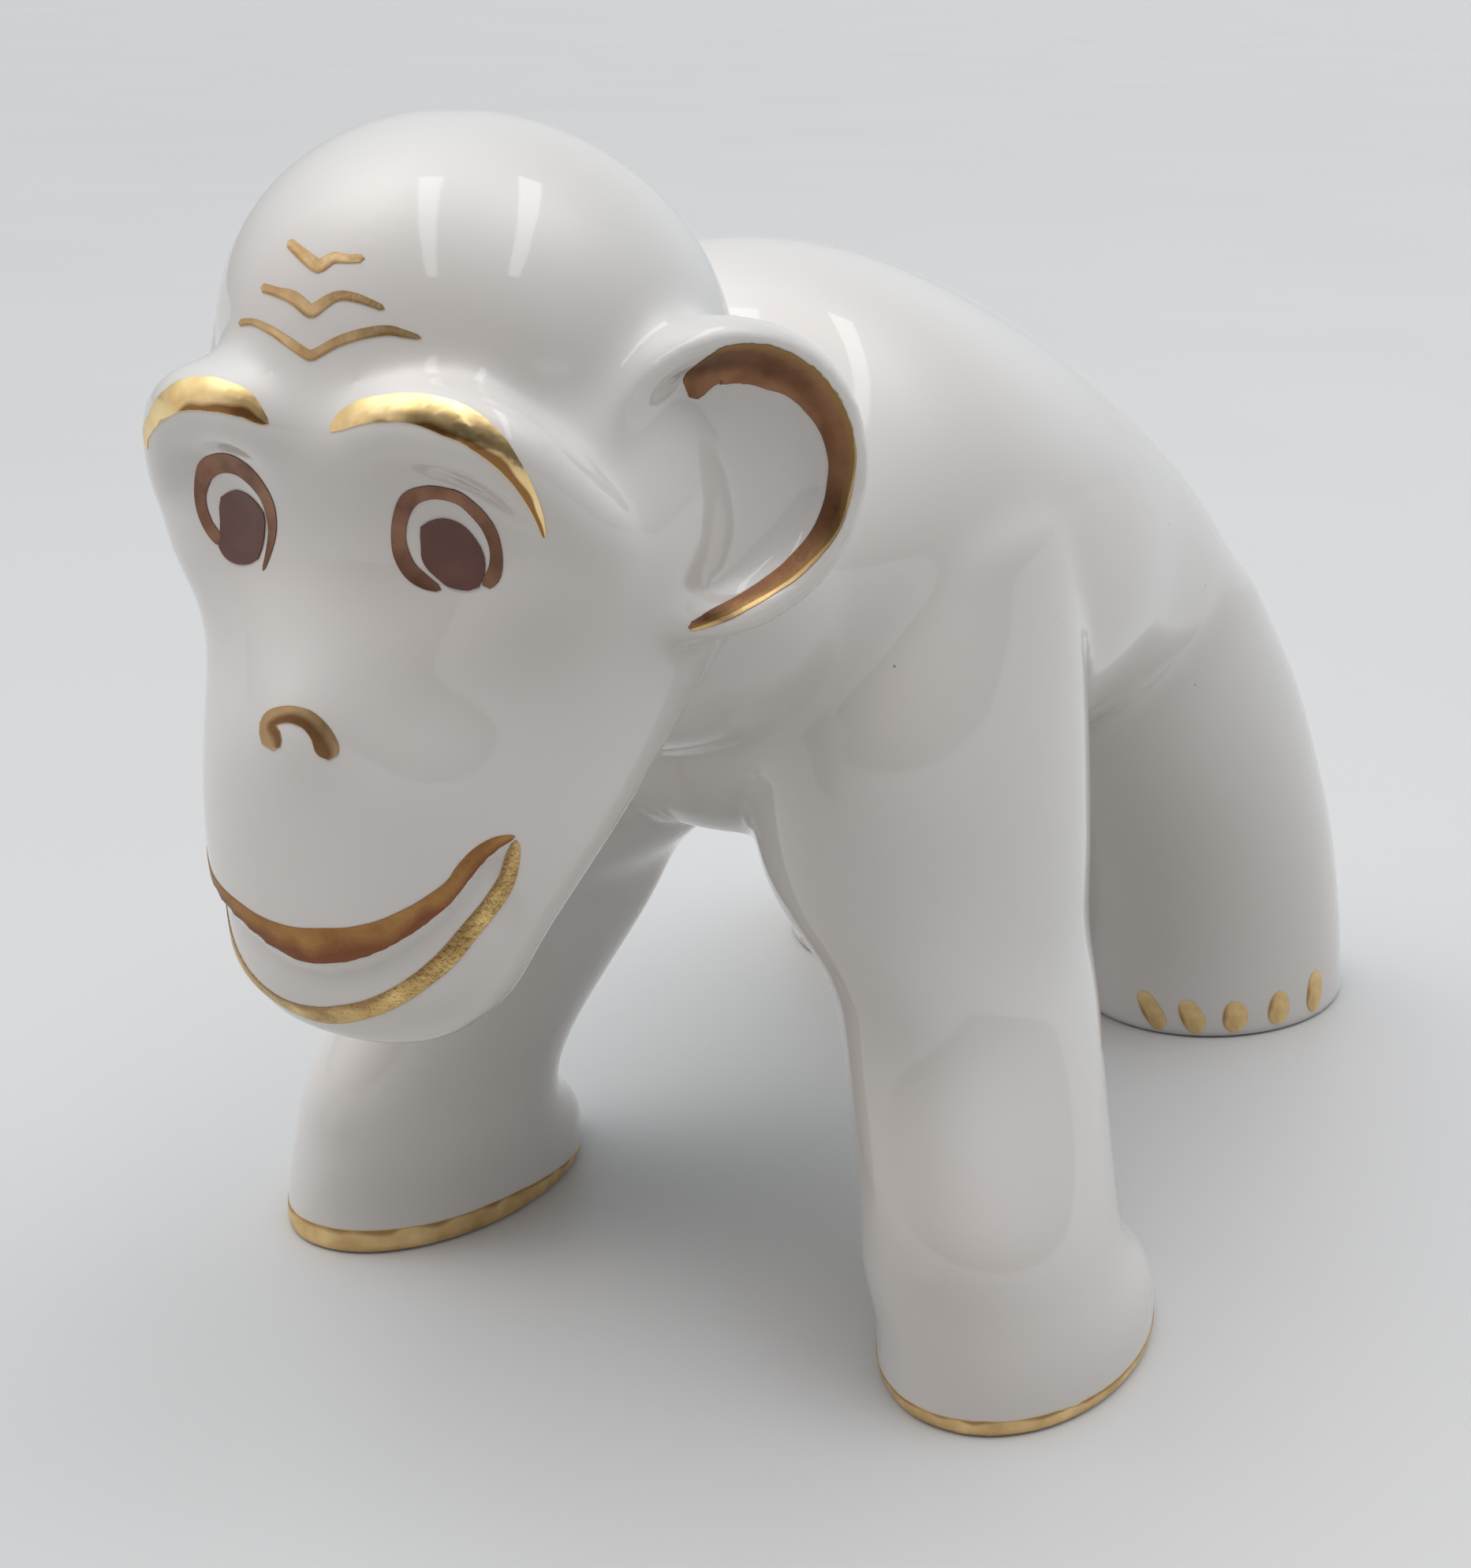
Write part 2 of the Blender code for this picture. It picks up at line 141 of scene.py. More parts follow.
# height, out, lean, width, length
limbs = {
    "foreleg": {
        "footSpread": 0.0490,
        "topSpread": 0.0250,
        "topAlong": 0.230,
        "lean": 0.0070,
        "width": 0.0220,
        "length": 0.0320,
        "turn": 0.09,
        "dome": 0.0080,
        "rows": (
            (0.000, 1.000, 1.000, 0.818, 0.875),
            (0.048, 0.983, 0.986, 0.818, 0.869),
            (0.109, 0.908, 1.314, 0.782, 0.719),
            (0.177, 0.817, 1.171, 0.745, 0.763),
            (0.300, 0.525, 0.514, 0.755, 0.831),
            (0.368, 0.375, 0.343, 0.773, 0.888),
            (0.450, 0.142, 0.229, 0.982, 0.963),
            (0.586, 0.042, 0.143, 1.000, 1.000),
            (0.736, 0.000, 0.000, 0.909, 0.875),
        ),
    },
    "hind_leg": {
        "footSpread": 0.0310,
        "topSpread": 0.0228,
        "topAlong": 0.824,
        "lean": -0.0162,
        "width": 0.0226,
        "length": 0.0292,
        "turn": -0.28,
        "dome": 0.0070,
        "rows": (
            (0.000, 1.000, 1.000, 1.000, 0.918),
            (0.109, 0.951, 0.951, 0.965, 0.904),
            (0.245, 0.780, 0.765, 0.929, 0.918),
            (0.409, 0.439, 0.370, 0.832, 1.000),
            (0.545, 0.000, 0.000, 0.761, 0.959),
        ),
    },
}

joints = {
    "legDrop": 0.0045,
    "earClear": 0.0004,
    "neckTop": (0.929, 1.164),
    "neckBottom": (0.661, 0.233),
}


def newPiece(name, bm):
    bmesh.ops.recalc_face_normals(bm, faces=bm.faces)
    mesh = bpy.data.meshes.new(name)
    bm.to_mesh(mesh)
    bm.free()
    piece = bpy.data.objects.new(name, mesh)
    bpy.context.scene.collection.objects.link(piece)
    return piece


def smoothRows(rows, steps):
    rows = [np.array(row, float) for row in rows]
    rows = [2 * rows[0] - rows[1]] + rows + [2 * rows[-1] - rows[-2]]
    found = []
    for a, b, c, d in zip(rows, rows[1:], rows[2:], rows[3:]):
        for step in range(steps):
            t = step / steps
            bend = (2 * a - 5 * b + 4 * c - d) * t**2 + (3 * b - a - 3 * c + d) * t**3
            found.append(0.5 * (2 * b + (c - a) * t + bend))
    found.append(rows[-2])
    return found


def domeRings(ring, before, height):
    centre, across, along, squareness = ring
    axis = (centre - before[0]).normalized()
    found = []
    for step in range(1, casting["domeSteps"]):
        angle = math.pi / 2 * step / casting["domeSteps"]
        shrink = math.cos(angle)
        found.append((centre + axis * height * math.sin(angle), across * shrink, along * shrink, squareness))
    return found


# A tube through rings of centre, across, along and squareness
def loft(rings, startDome=0.0, endDome=0.0):
    if startDome:
        rings = domeRings(rings[0], rings[1], startDome)[::-1] + rings
    if endDome:
        rings = rings + domeRings(rings[-1], rings[-2], endDome)
    bm = bmesh.new()
    loops = []
    for centre, across, along, squareness in rings:
        verts = bmesh.ops.create_circle(bm, segments=casting["ringPoints"], radius=1.0)["verts"]
        power = 2 / squareness
        for v in verts:
            x = math.copysign(abs(v.co.x) ** power, v.co.x)
            y = math.copysign(abs(v.co.y) ** power, v.co.y)
            v.co = centre + across * x + along * y
        loops.append(list({edge for v in verts for edge in v.link_edges}))
    for lower, upper in zip(loops, loops[1:]):
        bmesh.ops.bridge_loops(bm, edges=lower + upper)
    for end in (loops[0], loops[-1]):
        bmesh.ops.contextual_create(bm, geom=end)
    bmesh.ops.recalc_face_normals(bm, faces=bm.faces)
    return bm


def onHead(across, back, up):
    chin = trunkShape["shoulderHeight"] - headShape["chinDrop"]
    return Vector((
        across * headShape["width"] / 2,
        (back - 1) * headShape["depth"],
        chin + up * headShape["height"],
    ))


def trunkForm():
    rings = []
    for along, top, bottom, width in smoothRows(trunkShape["rows"], casting["stepsBetween"]):
        top *= trunkShape["shoulderHeight"]
        bottom *= trunkShape["bellyHeight"]
        centre = Vector((0, along * trunkShape["length"], (top + bottom) / 2))
        across = Vector((width * trunkShape["width"] / 2, 0, 0))
        rings.append((centre, across, Vector((0, 0, (top - bottom) / 2)), 2))
    return loft(rings, trunkShape["breastDome"], trunkShape["rumpDome"])


def headForm():
    rings = []
    for height, front, back, width, squareness in smoothRows(headShape["rows"], casting["stepsBetween"]):
        across = Vector((width * headShape["width"] / 2, 0, 0))
        along = Vector((0, (back - front) / 2 * headShape["depth"], 0))
        rings.append((onHead(0, (front + back) / 2, height), across, along, squareness))
    return loft(rings, headShape["chinDome"], headShape["crownDome"])


def browForm(side):
    points = [onHead(side * a, b, u) for a, b, u in smoothRows(browRidge["points"], casting["stepsBetween"])]
    rings = []
    for step, point in enumerate(points):
        along = points[min(step + 1, len(points) - 1)] - points[max(step - 1, 0)]
        reach = len(points) - 1 + 2 * browRidge["taper"]
        radius = browRidge["radius"] * math.sqrt(math.sin(math.pi * (step + browRidge["taper"]) / reach))
        across = along.cross(Vector((0, 0, 1))).normalized() * radius
        rings.append((point, across, across.cross(along).normalized() * radius, 2))
    return loft(rings, browRidge["radius"] / 3, browRidge["radius"] / 3)


# The ear's own axes: its middle, its length, its height and the way it opens
def earAxes(side):
    turned = Matrix.Rotation(-side * earShape["swing"], 3, "Z")
    along = turned @ Vector((0, earShape["length"] / 2, 0))
    up = Vector((0, 0, earShape["height"] / 2))
    out = turned @ Vector((side, 0, 0))
    place = earShape["place"]
    return onHead(side * place[0], place[1], place[2]), along, up, out


def earForm(side):
    centre, along, up, out = earAxes(side)
    rim = earShape["rim"] / earShape["length"]
    half = earShape["thickness"] / 2
    steps = casting["domeSteps"]
    profile = []
    for step in range(1, steps):
        angle = math.pi / 2 * step / steps
        profile.append((math.sin(angle) ** 0.5, -half * math.cos(angle)))
    for step in range(steps):
        angle = math.pi * step / steps
        profile.append((1 - rim + rim * math.cos(angle), half * math.sin(angle)))
    for step in range(steps):
        angle = math.pi / 2 * step / steps
        profile.append(((1 - 2 * rim) * math.cos(angle), -earShape["floor"] * math.sin(angle)))
    return loft([(centre + out * away, along * width, up * width, 2) for width, away in profile])


def legForm(limb, side):
    height = trunkShape["shoulderHeight"]
    rows = smoothRows(limb["rows"], casting["stepsBetween"])
    lowest = rows[0].copy()
    lowest[0] = -casting["soleSpare"] / height
    spun = Matrix.Rotation(side * limb["turn"], 3, "Z")
    rings = []
    for up, out, lean, width, length in [lowest] + rows:
        middle = (limb["topSpread"] + (limb["footSpread"] - limb["topSpread"]) * out) / 2
        back = trunkShape["length"] * limb["topAlong"] - limb["lean"] * lean
        across = spun @ Vector((limb["width"] / 2 * width, 0, 0))
        along = spun @ Vector((0, limb["length"] / 2 * length, 0))
        rings.append((Vector((side * middle, back, up * height)), across, along, 2))
    return loft(rings, 0.0, limb["dome"])


# As many light passes as spread each point over the radius
def soften(skin, radius):
    smooth = skin.modifiers.new("smooth", "SMOOTH")
    smooth.factor = 0.5
    smooth.iterations = round(2 * (radius / casting["voxel"]) ** 2)
    return smooth


# All forms melted into one skin, with soft creases where they meet
def meltedSkin():
    parts = [trunkForm(), headForm()]
    for side in sides.values():
        parts += [browForm(side), earForm(side)]
        parts += [legForm(limb, side) for limb in limbs.values()]
    bm = bmesh.new()
    for part in parts:
        mesh = bpy.data.meshes.new("form")
        part.to_mesh(mesh)
        part.free()
        bm.from_mesh(mesh)
        bpy.data.meshes.remove(mesh)
    skin = newPiece("skin", bm)
    remesh = skin.modifiers.new("remesh", "REMESH")
    remesh.mode = "VOXEL"
    remesh.voxel_size = casting["voxel"]
    soften(skin, casting["softness"])
    bpy.context.view_layer.update()
    graph = bpy.context.evaluated_depsgraph_get()
    melted = bpy.data.meshes.new_from_object(skin.evaluated_get(graph))
    bpy.data.objects.remove(skin, do_unlink=True)
    return melted


def faceRise(points):
    amount = np.zeros(len(points))
    for across, back, up, reachAcross, reachUp, rise in faceRelief["marks"]:
        reach = np.array((reachAcross, faceRelief["depth"], reachUp)) * headShape["width"] / 2
        for side in sides.values() if across else (1,):
            offset = (points - np.array(onHead(side * across, back, up))) / reach
            amount += rise / 1000 * np.exp(-(offset**2).sum(axis=1))
    return amount


def lipRecess(points):
    sideways, up, breadth = np.array(lipLines["upper"]).T
    across = points[:, 0] / (headShape["width"] / 2)
    edge = onHead(0, 0, 0).z + np.interp(across, sideways, up * headShape["height"] - breadth / 2000)
    below = edge - points[:, 2]
    step = np.clip(below / lips["softness"], 0, 1) * np.clip(1 - below / lips["fade"], 0, 1)
    corner = np.interp(across, (*sideways[:2], *sideways[-2:]), (0, 1, 1, 0))
    muzzle = points[:, 1] < onHead(0, lips["muzzle"], 0).y
    return lips["step"] * step * corner * muzzle


def vectorsOf(items, name):
    found = np.empty((len(items), 3), np.float32)
    items.foreach_get(name, found.ravel())
    return found


def carveFace(mesh):
    points = vectorsOf(mesh.vertices, "co")
    rise = faceRise(points) - lipRecess(points)
    points = points + vectorsOf(mesh.vertices, "normal") * rise[:, None]
    mesh.vertices.foreach_set("co", points.astype(np.float32).ravel())
    mesh.update()


# Around each hip the crease is filled until flank and thigh run into each other
hips = {
    "aside": 0.0200,
    "along": 0.860,
    "height": 0.0430,
    "reach": 0.0230,
    "full": 0.5,
    "softness": 0.00506,
}


def fillHips(mesh):
    skin = bpy.data.objects.new("hips", mesh)
    bpy.context.scene.collection.objects.link(skin)
    group = skin.vertex_groups.new(name="hips")
    shares = {}
    for side in sides.values():
        middle = Vector((side * hips["aside"], hips["along"] * trunkShape["length"], hips["height"]))
        for v in mesh.vertices:
            share = (1 - (v.co - middle).length / hips["reach"]) / (1 - hips["full"])
            if share > 0:
                shares[v.index] = max(min(share, 1), shares.get(v.index, 0))
    group.add(list(shares), 1.0, "REPLACE")
    soften(skin, hips["softness"]).vertex_group = group.name
    bpy.context.view_layer.update()
    softened = skin.evaluated_get(bpy.context.evaluated_depsgraph_get()).data
    places, normals = vectorsOf(mesh.vertices, "co"), vectorsOf(mesh.vertices, "normal")
    soft = vectorsOf(softened.vertices, "co")
    share = np.zeros(len(mesh.vertices), np.float32)
    share[list(shares)] = list(shares.values())
    out = ((soft - places) * normals).sum(axis=1).clip(0) * share
    mesh.vertices.foreach_set("co", (places + normals * out[:, None]).ravel())
    bpy.data.objects.remove(skin, do_unlink=True)
    mesh.update()


# The soles are cut flat, with a small round edge, and each point keeps the skin's own normal
def groundedSkin(mesh):
    bm = bmesh.new()
    bm.from_mesh(mesh)
    bmesh.ops.bisect_plane(
        bm, geom=bm.verts[:] + bm.edges[:] + bm.faces[:], plane_no=(0, 0, -1), clear_outer=True
    )
    bm.normal_update()
    radius = casting["soleRound"]
    for v in bm.verts:
        if v.co.z < radius:
            inward = radius - math.sqrt(radius**2 - (radius - max(v.co.z, 0)) ** 2)
            v.co -= Vector((v.normal.x, v.normal.y, 0)).normalized() * inward
    bm.normal_update()
    own = bm.verts.layers.float_vector.new("skinNormal")
    for v in bm.verts:
        v[own] = v.normal
    return bm


def neckPlane():
    top = onHead(0, *joints["neckTop"])
    bottom = onHead(0, *joints["neckBottom"])
    up = (top - bottom).normalized()
    return bottom, Vector((0, -up.z, up.y))


def legJoint(limb):
    topBack = trunkShape["length"] * limb["topAlong"]
    beside = [
        row[2] for row in trunkShape["rows"]
        if abs(row[0] * trunkShape["length"] - topBack) < limb["length"] / 2
    ]
    return min(beside) * trunkShape["bellyHeight"] - joints["legDrop"]


# Cuts the faces along a plane, and their edges and corners with them
def cutFaces(bm, faces, point, normal):
    edges = {edge for face in faces for edge in face.edges}
    verts = {v for face in faces for v in face.verts}
    bmesh.ops.bisect_plane(bm, geom=[*verts, *edges, *faces], plane_co=point, plane_no=normal)


# Keeps or drops what lies past a plane, but only where test says that the cut reaches
def cutAway(bm, point, normal, test, keepPast):
    cutFaces(bm, [face for face in bm.faces if test(face.calc_center_median())], point, normal)
    dropped = []
    for face in bm.faces:
        middle = face.calc_center_median()
        past = test(middle) and (middle - point).dot(normal) > 0
        if past != keepPast:
            dropped.append(face)
    bmesh.ops.delete(bm, geom=dropped, context="FACES")


def everywhere(point):
    return True


vent = {
    "along": 0.54,
    "diameter": 0.0045,
    "depth": 0.012,
    "sides": 24,
    "beside": 2,  # in radii
    "ceiling": 1.2,  # in heights of the belly
}


# The drain hole under the belly: a ring of cuts, the faces inside it pushed up
def cutVent(bm):
    place = Vector((0, vent["along"] * trunkShape["length"], 0))
    radius = vent["diameter"] / 2
    turns = np.linspace(0, math.tau, vent["sides"] + 1)[1:]
    outs = [Vector((math.cos(turn), math.sin(turn), 0)) for turn in turns]

    def beside(point):
        isLow = point.z < trunkShape["bellyHeight"] * vent["ceiling"]
        return isLow and (point - place).xy.length < vent["beside"] * radius

    def facesBeside():
        return [face for face in bm.faces if beside(face.calc_center_median())]

    for out in outs:
        cutFaces(bm, facesBeside(), place + out * radius, out)
    inside = []
    for face in facesBeside():
        offset = face.calc_center_median() - place
        if all(offset.dot(out) < radius for out in outs):
            inside.append(face)
    bmesh.ops.delete(bm, geom=inside, context="FACES")
    rim = [edge for edge in bm.edges if edge.is_boundary and beside(edge.verts[0].co)]
    raised = bmesh.ops.extrude_edge_only(bm, edges=rim)["geom"]
    for v in raised:
        if isinstance(v, bmesh.types.BMVert):
            v.co.z += vent["depth"]


# Faces that follow the skin shade with the normals that it had there, and the others flat
def shadedLikeSkin(name, bm):
    bm.normal_update()
    skinNormal = bm.verts.layers.float_vector["skinNormal"]
    for face in bm.faces:
        face.smooth = face.normal.dot(face.verts[0][skinNormal]) > casting["likeSkin"]
    mesh = bpy.data.meshes.new(name)
    bm.to_mesh(mesh)
    bm.free()
    corners = np.empty(len(mesh.loops), np.int32)
    mesh.loops.foreach_get("vertex_index", corners)
    normals = vectorsOf(mesh.attributes["skinNormal"].data, "vector")[corners]
    normals /= np.linalg.norm(normals, axis=1)[:, None]
    for face in mesh.polygons:
        if not face.use_smooth:
            normals[face.loop_start:face.loop_start + face.loop_total] = face.normal
    mesh.normals_split_custom_set(normals.tolist())
    piece = bpy.data.objects.new(name, mesh)
    bpy.context.scene.collection.objects.link(piece)
    return piece


def makeCastings(skin):
    neckAt, neckOut = neckPlane()
    earAt = headShape["width"] / 2 + joints["earClear"]
    halfway = trunkShape["length"] * (limbs["foreleg"]["topAlong"] + limbs["hind_leg"]["topAlong"]) / 2
    made = {}

    body = skin.copy()
    cutAway(body, neckAt, neckOut, everywhere, False)
    head = skin.copy()
    cutAway(head, neckAt, neckOut, everywhere, True)
    for word, side in sides.items():
        ear = head.copy()
        cutAway(ear, Vector((side * earAt, 0, 0)), Vector((side, 0, 0)), everywhere, True)
        made[f"{word}_ear"] = ear
    for side in sides.values():
        cutAway(head, Vector((side * earAt, 0, 0)), Vector((side, 0, 0)), everywhere, False)
    made["head"] = head
    for limbName, limb in limbs.items():
        isFront = limb["topAlong"] < halfway / trunkShape["length"]

        def near(point):
            return (point.y < halfway) == isFront

        height = Vector((0, 0, legJoint(limb)))
        pair = body.copy()
        cutAway(pair, height, Vector((0, 0, -1)), near, True)
        for word, side in sides.items():
            one = pair.copy()
            cutAway(one, Vector((0, 0, 0)), Vector((side, 0, 0)), everywhere, True)
            made[f"{word}_{limbName}"] = one
        pair.free()
        cutAway(body, height, Vector((0, 0, -1)), near, False)
    cutVent(body)
    made["torso"] = body
    for bm in made.values():
        bmesh.ops.holes_fill(bm, edges=[edge for edge in bm.edges if edge.is_boundary], sides=0)
    return {node: shadedLikeSkin(node + "_glazed", bm) for node, bm in made.items()}


# A layer of paint on the skin, sunk into it so that no edge stands open
paint = {
    "lift": 0.00005,
    "pupilLift": 0.00009,
    "sunk": 0.00018,
    "grain": 0.00024,
    "fewestSteps": 8,
    "fewestAcross": 4,
    "wobble": 0.05,
    "wobbleLength": 0.0016,
    "edgesApart": 4,  # in the noise, so that the two edges wobble on their own
    "mapScale": 100,  # the brush map counts in centimetres
    "weld": 0.000001,
}


# The skin as a ground for paint: its place and smooth normal nearest to a point
class Ground:
    def __init__(self, skin):
        skin.verts.ensure_lookup_table()
        skin.faces.ensure_lookup_table()
        self.faces = skin.faces
        self.own = skin.verts.layers.float_vector["skinNormal"]
        self.tree = BVHTree.FromBMesh(skin)

    def nearest(self, point):
        place, flat, face, away = self.tree.find_nearest(point)
        normal = Vector((0, 0, 0))
        for v in self.faces[face].verts:
            normal += v[self.own] / ((v.co - place).length + paint["lift"])
        return place, normal.normalized()

    def met(self, start, way):
        return self.tree.ray_cast(start, way)[0]


def resample(points, breadths, spacing):
    lengths = [0.0]
    for a, b in zip(points, points[1:]):
        lengths.append(lengths[-1] + (b - a).length)
    count = max(paint["fewestSteps"], round(lengths[-1] / spacing))
    at = np.linspace(0, lengths[-1], count + 1)
    columns = [np.interp(at, lengths, [p[axis] for p in points]) for axis in range(3)]
    return [Vector(row) for row in zip(*columns)], np.interp(at, lengths, breadths), lengths[-1]


# One stroke of the brush, laid on the skin along rows of place and breadth. Side turns over
# which side of it counts as the upper one.
def brushStroke(name, ground, guides, breadths, side=1, lift=paint["lift"]):
    rows = [(*point, breadth) for point, breadth in zip(guides, breadths)]
    fine = smoothRows(rows, casting["stepsBetween"])
    points = [ground.nearest(Vector(row[:3]))[0] for row in fine]
    points, breadths, length = resample(points, [max(row[3], 0) for row in fine], paint["grain"])
    seed = sum(map(ord, name))
    bm = bmesh.new()
    across = max(paint["fewestAcross"], round(max(breadths) / paint["grain"]))
    bmesh.ops.create_grid(bm, x_segments=len(points) - 1, y_segments=across, size=0.5)
    brush = bm.loops.layers.uv.new("brush")
    toEdge = bm.verts.layers.float.new("toEdge")
    sideShare = bm.verts.layers.float.new("sideShare")
    own = bm.verts.layers.float_vector.new("skinNormal")
    for face in bm.faces:
        for loop in face.loops:
            step = round((loop.vert.co.x + 0.5) * (len(points) - 1))
            along, aside = (loop.vert.co.x + 0.5) * length, loop.vert.co.y * breadths[step]
            loop[brush].uv = (along * paint["mapScale"], aside * paint["mapScale"])
    for v in bm.verts:
        step = round((v.co.x + 0.5) * (len(points) - 1))
        away = v.co.y * 2
        middle = points[step]
        ahead = points[min(step + 1, len(points) - 1)] - points[max(step - 1, 0)]
        sideways = ground.nearest(middle)[1].cross(ahead).normalized()
        at = step / (len(points) - 1) * length
        half = breadths[step] / 2
        edge = math.copysign(paint["edgesApart"], away)
        half *= 1 + paint["wobble"] * noise.noise((at / paint["wobbleLength"], edge, seed))
        fromEnd = min(at, length - at)
        if fromEnd < half:
            half *= math.sqrt(1 - (1 - fromEnd / half) ** 2)
        v[toEdge] = min(half * (1 - abs(away)), fromEnd) * 1000
        v[sideShare] = away * side
        place, v[own] = ground.nearest(middle + sideways * half * away)
        v.co = place + v[own] * lift
    bmesh.ops.remove_doubles(bm, verts=bm.verts, dist=paint["weld"])
    twin = bmesh.ops.duplicate(bm, geom=bm.faces[:])["geom"]
    for v in twin:
        if isinstance(v, bmesh.types.BMVert):
            v.co -= v[own] * paint["sunk"]
    bmesh.ops.bridge_loops(bm, edges=[edge for edge in bm.edges if edge.is_boundary])
    bmesh.ops.recalc_face_normals(bm, faces=bm.faces)
    return shadedLikeSkin(name, bm)


# Across and up, shares of the head met from in front, and breadth in millimetres
def faceStroke(name, ground, rows, lift=paint["lift"]):
    guides = [ground.met(onHead(across, -1, up), Vector((0, 1, 0))) for across, up, breadth in rows]
    return brushStroke(name, ground, guides, [row[2] / 1000 for row in rows], lift=lift)


brows = {
    "left": (
        (0.108, 0.959, 0.2), (0.158, 0.976, 1.04), (0.228, 0.991, 1.40), (0.309, 1.000, 1.50),
        (0.392, 1.005, 1.65), (0.474, 1.004, 1.81), (0.543, 0.998, 2.00), (0.609, 0.989, 1.97),
        (0.666, 0.974, 1.76), (0.720, 0.953, 1.45), (0.759, 0.929, 1.12), (0.787, 0.903, 0.87),
        (0.803, 0.876, 0.68), (0.809, 0.850, 0.48), (0.804, 0.820, 0.2),
    ),
    "right": (
        (-0.800, 0.885, 0.3), (-0.779, 0.910, 0.75), (-0.706, 0.935, 0.85), (-0.643, 0.958, 1.27),
        (-0.576, 0.976, 1.61), (-0.505, 0.989, 1.93), (-0.413, 0.995, 1.99), (-0.321, 0.993, 1.81),
        (-0.240, 0.986, 1.49), (-0.179, 0.971, 0.89), (-0.139, 0.960, 0.25),
    ),
}

wrinkles = {
    "upper": (
        (-0.184, 1.208, 0.50), (-0.101, 1.193, 0.66), (-0.035, 1.181, 0.74), (-0.010, 1.181, 0.72),
        (0.032, 1.192, 0.60), (0.087, 1.192, 0.45), (0.148, 1.194, 0.44),
    ),
    "middle": (
        (-0.275, 1.142, 0.50), (-0.189, 1.139, 0.52), (-0.109, 1.134, 0.72), (-0.035, 1.119, 0.74),
        (-0.012, 1.121, 0.70), (0.067, 1.141, 0.54), (0.144, 1.141, 0.46), (0.246, 1.128, 0.30),
    ),
    "lower": (
        (-0.392, 1.086, 0.36), (-0.303, 1.092, 0.38), (-0.203, 1.085, 0.46), (-0.117, 1.072, 0.54),
        (-0.060, 1.062, 0.56), (-0.021, 1.057, 0.58), (0.022, 1.065, 0.53), (0.083, 1.079, 0.54),
        (0.169, 1.092, 0.54), (0.258, 1.099, 0.52), (0.318, 1.095, 0.40), (0.370, 1.090, 0.2),
    ),
}

eyeRings = {
    "left": (
        (0.440, 0.734, 0.3), (0.379, 0.743, 0.77), (0.327, 0.757, 0.91), (0.293, 0.780, 0.94),
        (0.284, 0.806, 0.81), (0.298, 0.834, 0.85), (0.328, 0.858, 0.94), (0.370, 0.871, 0.86),
        (0.433, 0.876, 0.80), (0.510, 0.869, 0.82), (0.560, 0.852, 0.80), (0.604, 0.829, 0.75),
        (0.629, 0.804, 0.68), (0.636, 0.780, 0.73), (0.625, 0.760, 0.82), (0.590, 0.746, 0.75),
    ),
    "right": (
        (-0.279, 0.728, 0.2), (-0.255, 0.761, 0.49), (-0.238, 0.795, 0.73), (-0.246, 0.830, 1.02),
        (-0.278, 0.854, 1.20), (-0.335, 0.873, 1.42), (-0.410, 0.882, 1.40), (-0.495, 0.877, 1.24),
        (-0.567, 0.860, 1.14), (-0.606, 0.830, 1.00), (-0.603, 0.804, 0.90), (-0.570, 0.779, 0.81),
        (-0.534, 0.765, 0.79), (-0.500, 0.754, 0.60),
    ),
}

pupils = {
    "left": (
        (0.364, 0.823, 0.5), (0.383, 0.818, 1.6), (0.410, 0.810, 2.65), (0.450, 0.795, 3.2),
        (0.494, 0.779, 3.15), (0.534, 0.763, 2.7), (0.562, 0.750, 1.9), (0.578, 0.743, 0.9),
    ),
    "right": (
        (-0.500, 0.824, 0.7), (-0.482, 0.818, 1.9), (-0.448, 0.808, 3.2), (-0.410, 0.793, 4.1),
        (-0.385, 0.777, 4.5), (-0.356, 0.762, 4.1), (-0.328, 0.750, 2.9), (-0.310, 0.743, 1.1),
    ),
}

nostrils = {
    "mark": (
        (-0.092, 0.487, 1.75), (-0.099, 0.502, 1.85), (-0.124, 0.517, 1.45), (-0.120, 0.528, 1.10),
        (-0.090, 0.538, 0.95), (-0.031, 0.546, 0.92), (0.020, 0.546, 0.98), (0.062, 0.541, 1.09),
        (0.104, 0.526, 1.23), (0.126, 0.508, 1.43), (0.134, 0.497, 1.42), (0.137, 0.487, 1.35),
    ),
}

# From one corner of the mouth to the other
lipLines = {
    "upper": (
        (-0.710, 0.300, 0.3), (-0.650, 0.262, 0.7), (-0.560, 0.236, 0.75), (-0.458, 0.223, 0.85),
        (-0.355, 0.212, 1.05), (-0.239, 0.199, 1.30), (-0.141, 0.189, 1.65), (-0.027, 0.186, 1.97),
        (0.086, 0.192, 2.10), (0.230, 0.209, 1.83), (0.338, 0.232, 1.59), (0.440, 0.262, 1.35),
        (0.524, 0.296, 1.15), (0.568, 0.328, 1.13), (0.604, 0.350, 1.00), (0.640, 0.364, 0.72),
        (0.678, 0.370, 0.2),
    ),
    "lower": (
        (-0.700, 0.285, 0.3), (-0.620, 0.215, 0.7), (-0.520, 0.150, 0.9), (-0.400, 0.102, 0.9),
        (-0.280, 0.072, 1.0), (-0.160, 0.058, 1.1), (-0.031, 0.058, 1.30), (0.083, 0.070, 1.30),
        (0.205, 0.091, 1.10), (0.313, 0.117, 1.07), (0.410, 0.150, 1.05), (0.495, 0.189, 1.13),
        (0.558, 0.230, 1.06), (0.607, 0.264, 1.07), (0.647, 0.299, 0.96), (0.669, 0.337, 0.82),
        (0.680, 0.364, 0.4),
    ),
}

